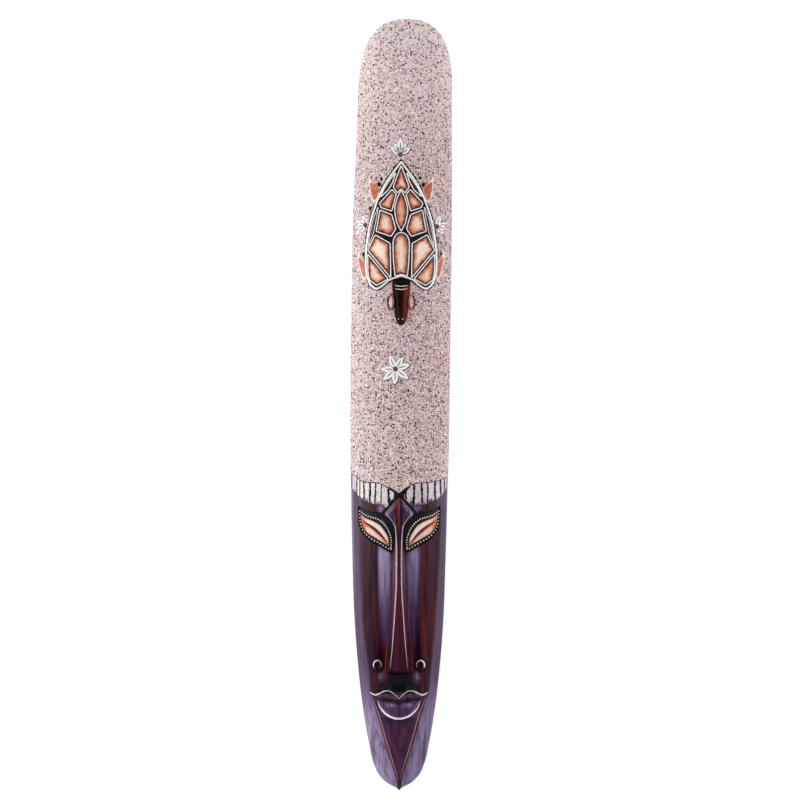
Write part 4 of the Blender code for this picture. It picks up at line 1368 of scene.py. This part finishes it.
def cell_outlines():
    """Plan outlines of all the shell's cells."""
    outlines = [place_upright(cut_corners(on_side(cell, side))) for cell in SIDE_CELLS for side in (1, -1)]
    for half in MIDDLE_CELLS:
        outlines.append(place_upright(cut_corners(half + mirrored(half)[-2:0:-1])))
    return outlines


class MASK_OT_turtle(bpy.types.Operator):
    """Carve and paint the turtle: shell, cells, border, head, eyes and flippers"""

    bl_idname = "mask.turtle"
    bl_label = "Carve turtle"

    def execute(self, context):
        sizes, colours = context.scene.mask_sizes, context.scene.mask_colours
        white, black = white_paint(colours), black_paint_and_shadows(colours)
        self.shell(sizes, black)
        self.cells(sizes, colours)
        self.lines(sizes, white)
        self.head(sizes, colours, white, black)
        self.flippers(sizes, colours)
        return {"FINISHED"}

    def shell(self, sizes, black):
        """The raised ground of the shell, with a painted outline and shadow round it and small painted
        shadows by the flippers.
        """
        outline = turtle_shell_outline()
        shape = Shape()
        lines = [(evenly(inset(outline, share * CHISEL_STEP), LINE_GAP, True), True) for share in (0.6, 1.2)]
        shape.add_patch(evenly(outline, LINE_GAP, True), shell_top, lifted(board_top, -0.001), lines=lines)
        # black line round the shell on the sand: painted outline and painted shadow
        around = evenly(inset(outline, -0.0007), 0.0011, True)
        shape.add_ribbon(around, 0.0019, sand_top(sizes), rise=0.0003, sink=0.0012, closed=True, wobble=0.4)
        # small black domes painted as shadows beside the flippers
        for shadow_spot in SHELL_SHADOW_SPOTS:
            radius = 0.0025 * (0.8 + 0.5 * scatter(*shadow_spot))
            shape.add_dome(place_upright([shadow_spot])[0], radius, sand_top(sizes), rise=0.0006, sink=0.0012)
        make_relief("turtle_shell", shape, black, sharp=50)

    def cells(self, sizes, colours):
        """The shell's cells, domed and shaded from cream to a burnt rim."""
        shape = Shape()
        for index, (outline, tint) in enumerate(zip(cell_outlines(), CELL_TINTS)):
            line = self.line_width(sizes, outline)
            middle, reach = outline.mean(axis=0), 0.5 * np.ptp(outline, axis=0)
            turn = 2 * math.pi * scatter(index, 3.0)
            edge = evenly(inset_clean(outline, 1.05 * line), sizes.paint_gap, True)

            def top(plan, edge=edge):
                depth = np.clip(depth_inside(plan, edge) / 0.0042, 0, 1)
                return shell_top(plan) + 0.0003 + SCUTE_RELIEF * (1 - (1 - depth) ** 2)

            def shade(plan, middle=middle, reach=reach, turn=turn, tint=tint):
                off = (plan - middle) / reach
                leaning = off[:, 0] * math.cos(turn) + off[:, 1] * math.sin(turn)
                return tint + 0.75 * ramp(leaning, 0.05, 0.95)

            shape.add_patch(edge, top, lifted(shell_top, -0.0004), gap=0.0011,
                            zones={"depth": depth_zone(edge), "tint": shade})
        finish = shaded_paint("scute_paint", colours.scute_centre, colours.scute_middle, colours.scute_rim,
                              low=0.0014, high=0.0064)
        make_relief("turtle_scutes", shape, finish, sharp=60)

    def lines(self, sizes, white):
        """The white border of the shell and the white line round each cell."""
        shape = Shape()
        border = evenly(inset(turtle_shell_outline(), 0.5 * sizes.shell_border), 0.0009, True)
        shape.add_ribbon(border, sizes.shell_border, shell_top, rise=0.0009, sink=0.0005, closed=True,
                         wobble=0.1)
        for outline in cell_outlines():
            line = evenly(inset(outline, -0.0001), sizes.paint_gap, True)
            shape.add_ribbon(line, self.line_width(sizes, outline), shell_top, rise=0.0008, sink=0.0005,
                             closed=True)
        make_relief("shell_lines", shape, white)

    def line_width(self, sizes, outline):
        """Width of the white line round a cell: thinner round the slim cells beside the border."""
        wide, tall = np.ptp(outline, axis=0)
        slim = tall > 2.2 * wide and abs(outline[:, 0].mean()) > 0.03
        return sizes.scute_line * (0.62 if slim else 1)

    def head(self, sizes, colours, white, black):
        """The glossy head with its collar, beaded eyes and nostrils."""
        outline = evenly(place_upright(two_sided(HEAD, 8)), sizes.paint_gap, True)

        def top(plan):
            share = ramp(depth_inside(plan, outline), 0, HEAD_SLOPE * 1.1)
            return board_top(plan) + HEAD_RELIEF * np.sqrt(share)

        shape, low = Shape(), lifted(board_top, -0.0006)
        zones = {"warm": lambda plan: ramp(plan[:, 0], 0.0, 0.007) * 0.85,
                 "black": lambda plan: 1 - ramp((LENGTH / 2 - plan[:, 1]) / DOWN, *HEAD_COLLAR)}
        shape.add_patch(outline, top, low, gap=0.0008, zones=zones)
        make_relief("turtle_head", shape, head_lacquer(colours), sharp=60)

        eyes, lines, dark = Shape(), Shape(), Shape()
        for side in (1, -1):
            oval = disc((side * HEAD_EYE[0], HEAD_EYE[1]), HEAD_EYE_RADII, 40)
            edge = evenly(place_upright(oval), 0.0006, True)

            def eye_top(plan, edge=edge):
                return board_top(plan) + HEAD_EYE_RELIEF * ramp(depth_inside(plan, edge), 0, 0.0034)

            eyes.add_patch(edge, eye_top, low, gap=0.0008, zones={
                "depth": depth_zone(edge),
                "dark": lambda plan, side=side: (1 - ramp(side * plan[:, 0] / ACROSS, 10.5, 12.5)) * 0.9})
            turns = np.radians(np.linspace(-62, 62, 30))
            outer = [(side * (HEAD_EYE[0] + 5.2 * math.cos(turn)), HEAD_EYE[1] + 10.0 * math.sin(turn))
                     for turn in turns]
            dark.add_ribbon(place_upright(outer), 0.0019, higher(eye_top, sand_top(sizes)), rise=0.0006,
                            sink=0.0010, taper=0.2)
            for share in np.linspace(-1, 1, 8):
                spot = place_upright([(side * (9.9 - 0.9 * share), HEAD_EYE[1] + 8.6 * share)])[0]
                lines.add_dome(spot, 0.00055, higher(top, eye_top), rise=0.0005, sink=0.0006)
        for down, half in HEAD_RINGS:
            arc = [(half * share, down + 1.4 * (1 - share ** 2)) for share in np.linspace(-1, 1, 24)]
            lines.add_ribbon(place_upright(arc), 0.0011, top, rise=0.0003, sink=0.0006, taper=0.25,
                             rose=0.35)
        for spot in place_upright(HEAD_NOSTRILS):
            lines.add_dome(spot, 0.0008, top, rise=0.0005, sink=0.0006)
        finish = shaded_paint("head_eye_paint", colours.flipper_rim, colours.flipper_middle,
                              colours.paint_black, low=0.0011, high=0.006)
        make_relief("turtle_eyes", eyes, finish, sharp=60)
        make_relief("turtle_eye_rims", dark, black)
        make_relief("turtle_head_beads", lines, white)

    def flippers(self, sizes, colours):
        """Four leaf-shaped flippers, cream round a red-orange middle."""
        shape = Shape()
        for side in (1, -1):
            for flipper in (REAR_FLIPPER, FRONT_FLIPPER):
                edge = evenly(place_upright(smooth_loop(on_side(flipper, side), 6)), sizes.paint_gap, True)

                def top(plan, edge=edge):
                    return board_top(plan) + FLIPPER_RELIEF * ramp(depth_inside(plan, edge), -0.0002, 0.0016)

                middle, reach = edge.mean(axis=0), np.ptp(edge[:, 1]) / 2

                def depth(plan, edge=edge, middle=middle, reach=reach):
                    off = np.abs(plan[:, 1] - middle[1] + 0.1 * reach) / reach
                    return np.maximum(depth_inside(plan, edge), 0) * (1 - ramp(off, 0.4, 0.95))

                shape.add_patch(edge, top, lifted(board_top, -0.0006), gap=0.0009, zones={"depth": depth})
        finish = shaded_paint("flipper_paint", colours.flipper_middle, colours.flipper_rim,
                              colours.flipper_rim, low=0.0006, high=0.0020)
        make_relief("turtle_flippers", shape, finish, sharp=60)


class MASK_OT_flowers(bpy.types.Operator):
    """Paint the white flowers on the sand"""

    bl_idname = "mask.flowers"
    bl_label = "Paint flowers"

    def execute(self, context):
        sizes, colours = context.scene.mask_sizes, context.scene.mask_colours
        ground = sand_top(sizes)
        shadows, petals, hearts = Shape(), Shape(), Shape()
        for centre, tips in FLOWERS:
            for tip in tips:
                self.petal(shadows, petals, ground, centre, tip)
            hearts.add_dome(place_upright([centre])[0], FLOWER_CENTRE * ACROSS, ground, rise=0.0014,
                            sink=0.001, sides=20, depth=0.01)
        make_relief("petal_shadows", shadows, black_paint_and_shadows(colours))
        make_relief("petals", petals, white_paint(colours))
        heart = shaded_paint("petal_heart", colours.petal_heart, colours.petal_heart, colours.paint_black)
        make_relief("flower_hearts", hearts, heart)
        return {"FINISHED"}

    def petal(self, shadows, petals, ground, centre, tip):
        """One petal with the dark line down its middle and the shadow that is painted beside it."""
        centre, tip = np.array(centre), np.array(tip, float)
        size = float(np.hypot(*tip))
        along, beside = tip / size, np.array([-tip[1], tip[0]]) / size
        shares = np.linspace(0.16, 1, 16)
        round_share = np.clip((shares - 0.12) / 0.88, 0, 1) ** 0.8
        fullness = np.sin(np.pi * round_share) ** 0.75 * PETAL_FULLNESS * size
        fullness[-1] = 0
        spine = centre + along * size * shares[:, None]
        upper, lower = spine + beside * fullness[:, None], spine - beside * fullness[:, None]
        outline = np.vstack([upper, lower[::-1][1:]])
        raised, low = lifted(ground, 0.0005), lifted(ground, -0.001)
        petals.add_patch(evenly(place_upright(outline), FINE_GAP, True), raised, low)
        moved = evenly(place_upright(outline + np.array(PETAL_SHADOW)), FINE_GAP, True)
        shadows.add_patch(inset(moved, -0.0003), lifted(ground, 0.0002), low, gap=0.0014)
        line = [centre + along * size * share for share in np.linspace(0.2, 0.75, 12)]
        shadows.add_ribbon(place_upright(line), 0.0012, raised, rise=0.0002, sink=0.0008, taper=0.4)


class MASK_OT_eyes(bpy.types.Operator):
    """Carve the eyes' leaves and set the dots round them"""

    bl_idname = "mask.eyes"
    bl_label = "Carve eyes"

    def execute(self, context):
        sizes, colours = context.scene.mask_sizes, context.scene.mask_colours
        leaves, dots = Shape(), Shape()
        for side in (1, -1):
            edge = evenly(eye_leaf(side), sizes.paint_gap, True)
            slit = point_tree(evenly(place(smooth_line(on_side(EYE_SLIT, side), 8)), 0.0005))

            def from_slit(plan, slit=slit):
                return np.array([slit.find((*point, 0))[2] for point in plan])

            def top(plan, edge=edge, from_slit=from_slit):
                raised = LEAF_RELIEF * ramp(depth_inside(plan, edge), -0.0002, 0.0022)
                cut = 0.0013 * (1 - ramp(from_slit(plan), 0.0004, 0.0018))
                return wood_top(plan) + raised - cut

            leaves.add_patch(edge, top, lifted(wood_top, -0.0008), gap=0.0008, zones={
                "depth": depth_zone(edge),
                "dark": lambda plan, cut=from_slit: slit_share(plan, cut(plan)),
                "tint": eye_tint})
            self.dots(dots, sizes, side)
        finish = shaded_paint("leaf_paint", colours.leaf_centre, colours.leaf_middle, colours.leaf_rim,
                              low=0.0004, high=0.0014)
        make_relief("eye_leaves", leaves, finish, sharp=60)
        make_relief("eye_dots", dots, white_paint(colours))
        return {"FINISHED"}

    def dots(self, dots, sizes, side):
        """A row of dots between the leaf and the frame, above and below."""
        for frame_curve, leaf_curve, share, count in ((FRAME_UPPER, LEAF_UPPER, 0.33, 22),
                                                      (FRAME_LOWER, LEAF_LOWER, 0.45, 18)):
            outer, inner = [evenly(smooth_line(curve, 8), 0.4) for curve in (frame_curve, leaf_curve)]
            for portion in np.linspace(0.0, 0.985, count):
                one = outer[int(portion * (len(outer) - 1))]
                two = inner[int(portion * (len(inner) - 1))]
                across, down = one * share + two * (1 - share)
                spot = place([(side * across, down)])[0]
                dots.add_dome(spot, sizes.dot_radius, wood_top, rise=0.00055, sink=0.0006, sides=9)


class MASK_OT_fringe(bpy.types.Operator):
    """Paint the fringe below the sand and the dark bands that cross above the nose"""

    bl_idname = "mask.fringe"
    bl_label = "Paint fringe"

    def execute(self, context):
        sizes, colours = context.scene.mask_sizes, context.scene.mask_colours
        bars, dark = Shape(), Shape()
        ends = sorted(mirrored(FRINGE_ENDS) + FRINGE_ENDS)
        upper = [(-64, 585)] + SAND_EDGE + [(64, 591)]
        gaps = [across for across, width in FRINGE_GAPS]
        for index, (start, finish) in enumerate(zip(gaps, gaps[1:])):
            if abs(start + finish) > 1.5:
                self.bar(bars, upper, ends, start + 0.55, finish - 0.55, index)
        for across, width in FRINGE_GAPS:
            top = float(np.interp(across, *zip(*upper))) - 0.8
            low = float(np.interp(across, *zip(*ends))) - 1.2
            line = [(across + 0.35 * math.sin(share * 5 + across), top + (low - top) * share)
                    for share in np.linspace(0, 1, 26)]
            dark.add_ribbon(place(line), width * ACROSS, wood_top, rise=0.0007, sink=0.0005, taper=0.1,
                            wobble=0.3)
        edge = evenly(place(sand_line()), LINE_GAP)
        dark.add_ribbon(edge, 0.0013, board_top, rise=sizes.sand_thickness + 0.0003, sink=0.0005,
                        taper=0.03)
        for side in (1, -1):
            arm = evenly(place(on_side(smooth_line(BAND_ARM, 8), side)), LINE_GAP)
            widths = [(0, 0.0014), (0.4, 0.0034), (1, 0.0050)]
            dark.add_ribbon(arm, widths, wood_top, rise=0.0012, sink=0.0006)
            leg = evenly(place(on_side(BAND, side)), LINE_GAP)
            dark.add_ribbon(leg, BAND_WIDTH * 0.92 * ACROSS, wood_top, rise=0.0004, sink=0.0008, wobble=0.05)
        make_relief("fringe_bars", bars, fringe_paint(colours))
        make_relief("fringe_lines", dark, black_paint_and_shadows(colours))
        return {"FINISHED"}

    def bar(self, bars, upper, ends, start, finish, index):
        """One pale bar of the fringe, with an uneven lower end."""
        across = np.linspace(start, finish, max(int((finish - start) / 0.8), 3))
        top = np.interp(across, *zip(*upper)) + 0.2
        low = np.interp(across, *zip(*ends)) + 2.2 * (scatter(across * 0, across * 0 + index, 3) - 0.5)
        low = low + 0.7 * np.sin(across * 2.3 + index)
        outline = list(zip(across, top)) + list(zip(across[::-1], low[::-1]))
        middle = 0.5 * (start + finish)
        length = float(low.mean() - top.mean())

        def fade(plan):
            where, down = to_template(plan)
            return (down - np.interp(where, *zip(*upper))) / max(length, 1)

        on_right = middle > 8
        grey = 0.05 + 0.25 * scatter(index, 5.0) + 0.15 * on_right
        rose = 0.1 + 0.3 * on_right * scatter(index, 2.0)
        edge = evenly(place(outline), LINE_GAP, True)
        # the leftmost bar, which turns down the side, is greyed as a painted sheen; the others at random
        bars.add_patch(edge, lifted(wood_top, 0.00035), lifted(wood_top, -0.0008),
                       zones={"fade": fade, "rose": level_zone(rose),
                              "violet": level_zone(0.55 if middle < -54 else grey)})


class MASK_OT_face_lines(bpy.types.Operator):
    """Paint the pale lines of the nose, nostrils, lips, brow and chin, with painted highlights along the
    edges
    """

    bl_idname = "mask.face_lines"
    bl_label = "Paint face lines"

    def execute(self, context):
        sizes, colours = context.scene.mask_sizes, context.scene.mask_colours
        shape = Shape()
        rise, sink = sizes.paint_thickness, sizes.paint_sink
        down = np.linspace(655, 840, 240)
        for side in (1, -1):
            # pale line on each top edge of the nose: rubbed paint and painted highlight
            edge = place(np.column_stack([side * (curve_value(NOSE_HALF, down) - 0.2), down]))
            warm = 0.55 if side > 0 else 0.1
            thick = 0.0019 if side > 0 else 0.0024
            shape.add_ribbon(edge, [(0, thick), (0.5, 0.8 * thick), (1, 0.5 * thick)], wood_top, rise, sink,
                             taper=0.2, rose=0.2 if side > 0 else 0.8, warm=warm)
            # lilac painted highlight along the inner edges of the band and the eye frame
            brow = place(on_side(smooth_line(BROW_HIGHLIGHT, 8), side))
            shape.add_ribbon(evenly(brow, LINE_GAP), 0.0009, wood_top, rise, sink, taper=0.25, rose=0.9)
            self.nostril(shape, sizes, side)
            # pinkish line painted as a highlight along the chin's crest
            chin = np.linspace(875, 986, 130)
            crest = place(np.column_stack([side * (curve_value(CREST_ACROSS, chin) - 0.6), chin]))
            shape.add_ribbon(crest, 0.0016, wood_top, rise, sink, taper=0.3, rose=0.9, warm=0.85)
        whole = smooth_line(LIP_LINE + mirrored(LIP_LINE)[-2::-1], 8)
        widths = [(0, 0.0022), (0.18, 0.0020), (0.3, 0.0011), (0.5, 0.0009), (0.7, 0.0011), (0.85, 0.0020),
                  (1, 0.0022)]
        shape.add_ribbon(evenly(place(whole), FINE_GAP), widths, wood_top, rise + 0.0002, sink, taper=0.06,
                         rose=0.25, warm=0.15)
        whole = smooth_line(mirrored(SMILE_LINE) + SMILE_LINE[-2::-1], 8)
        widths = [(0, 0.0014), (0.25, 0.0024), (0.45, 0.0028), (0.7, 0.0023), (1, 0.0013)]
        shape.add_ribbon(evenly(place(whole), FINE_GAP), widths, wood_top, rise + 0.0003, sink, taper=0.12,
                         rose=0.1)
        make_relief("face_lines", shape, white_paint(colours))
        mouth = Shape()
        whole = smooth_line(MOUTH_GAP + mirrored(MOUTH_GAP)[-2::-1], 8)
        widths = [(0, 0.0012), (0.3, 0.0024), (0.5, 0.0026), (0.7, 0.0024), (1, 0.0012)]
        mouth.add_ribbon(evenly(place(whole), LINE_GAP), widths, wood_top, rise, sink, taper=0.1)
        make_relief("mouth_line", mouth, black_paint_and_shadows(colours))
        return {"FINISHED"}

    def nostril(self, shape, sizes, side):
        """A pale horseshoe round a nostril, open below."""
        turns = np.radians(np.linspace(-215, 35, 60))
        ring = [(side * NOSTRIL[0] + 0.80 * NOSTRIL_RADII[0] * math.cos(turn),
                 NOSTRIL[1] + 0.84 * NOSTRIL_RADII[1] * math.sin(turn)) for turn in turns]
        widths = [(0, 0.0010), (0.5, 0.0022), (1, 0.0016)]
        shape.add_ribbon(place(ring), widths, wood_top, sizes.paint_thickness, sizes.paint_sink, taper=0.12,
                         rose=0.2)


class MASK_OT_stage(bpy.types.Operator):
    """Set the pale floor, the soft lights and the camera above the mask"""

    bl_idname = "mask.stage"
    bl_label = "Set stage"

    def execute(self, context):
        scene, studio = context.scene, context.scene.mask_studio
        colours = scene.mask_colours
        mesh = bpy.data.meshes.new("floor")
        corners = [(x * FLOOR_HALF, y * FLOOR_HALF, 0) for x, y in ((-1, -1), (1, -1), (1, 1), (-1, 1))]
        mesh.from_pydata(corners, [], [[0, 1, 2, 3]])
        finish, tree, shader = new_finish("floor_paper", 0.95, specular=0.1)
        paper = noise(tree, object_place(tree), 6.0, 2.0)
        clouds = mix_colours(tree, reshape(tree, paper, 0.3, 0.7, 0.0, 0.15), colours.floor, (0.9, 0.9, 0.9))
        tree.links.new(clouds, shader.inputs["Base Color"])
        shader.inputs["Emission Color"].default_value = (1, 1, 1, 1)
        shader.inputs["Emission Strength"].default_value = studio.floor_glow
        mesh.materials.append(finish)
        floor = bpy.data.objects.new("floor", mesh)
        scene.collection.objects.link(floor)
        floor.location.z = -FLOOR_DROP
        world = bpy.data.worlds.new("room")
        world.use_nodes = True
        background = world.node_tree.nodes["Background"]
        background.inputs["Color"].default_value = (0.93, 0.95, 1.0, 1)
        seen = add_node(world.node_tree, "LightPath").outputs["Is Camera Ray"]
        strength = reshape(world.node_tree, seen, 0.0, 1.0, studio.room_light, studio.backdrop)
        world.node_tree.links.new(strength, background.inputs["Strength"])
        scene.world = world
        lights = [("left", (-1.75, 0.0, 0.42), (0.6, 2.6), studio.side_power),
                  ("right", (1.75, 0.0, 0.42), (0.6, 2.6), studio.side_power * RIGHT_LIGHT_SHARE),
                  ("head", (0.0, 1.9, 1.3), (1.6, 0.8), studio.end_power),
                  ("foot", (0.0, -1.9, 1.3), (1.6, 0.8), studio.end_power)]
        for name, spot, size, power in lights:
            light = bpy.data.lights.new(name, "AREA")
            light.shape, light.size, light.size_y, light.energy = "RECTANGLE", size[0], size[1], power
            lamp = bpy.data.objects.new(name, light)
            lamp.location = spot
            lamp.rotation_euler = (-Vector(spot)).to_track_quat("-Z", "Y").to_euler()
            scene.collection.objects.link(lamp)
        camera = bpy.data.cameras.new("camera")
        camera.lens, camera.sensor_width = studio.lens, 36.0
        eye = bpy.data.objects.new("camera", camera)
        view_span = PHOTO_PIXELS * PIXEL_SHARE * LENGTH
        across, along, level = CAMERA_PLACE
        eye.location = (across, along, level + view_span * studio.lens / camera.sensor_width)
        scene.collection.objects.link(eye)
        scene.camera = eye
        scene.view_settings.view_transform = "Standard"
        return {"FINISHED"}


class MASK_PT_panel(bpy.types.Panel):
    """Sizes, colours and steps of the mask"""

    bl_label = "Carved mask"
    bl_idname = "MASK_PT_panel"
    bl_space_type = "VIEW_3D"
    bl_region_type = "UI"
    bl_category = "Mask"

    def draw(self, context):
        scene = context.scene
        for settings in (scene.mask_sizes, scene.mask_studio, scene.mask_colours):
            column = self.layout.column()
            for name in settings.bl_rna.properties.keys():
                if name not in ("rna_type", "name"):
                    column.prop(settings, name)
        for step in STEPS:
            self.layout.operator(step.bl_idname)


STEPS = (MASK_OT_wood, MASK_OT_sand, MASK_OT_turtle, MASK_OT_flowers, MASK_OT_eyes, MASK_OT_fringe,
         MASK_OT_face_lines, MASK_OT_stage)
CLASSES = (MaskColours, MaskSizes, MaskStudio) + STEPS + (MASK_PT_panel,)


def register():
    """Make the settings, steps and panel known to Blender."""
    for each in CLASSES:
        bpy.utils.register_class(each)
    bpy.types.Scene.mask_colours = PointerProperty(type=MaskColours)
    bpy.types.Scene.mask_sizes = PointerProperty(type=MaskSizes)
    bpy.types.Scene.mask_studio = PointerProperty(type=MaskStudio)


def unregister():
    """Take the settings, steps and panel away again."""
    del bpy.types.Scene.mask_studio
    del bpy.types.Scene.mask_sizes
    del bpy.types.Scene.mask_colours
    for each in reversed(CLASSES):
        bpy.utils.unregister_class(each)


def main():
    """Make every piece and the stage."""
    register()
    for step in STEPS:
        family, name = step.bl_idname.split(".")
        getattr(getattr(bpy.ops, family), name)()


if __name__ == "__main__":
    main()
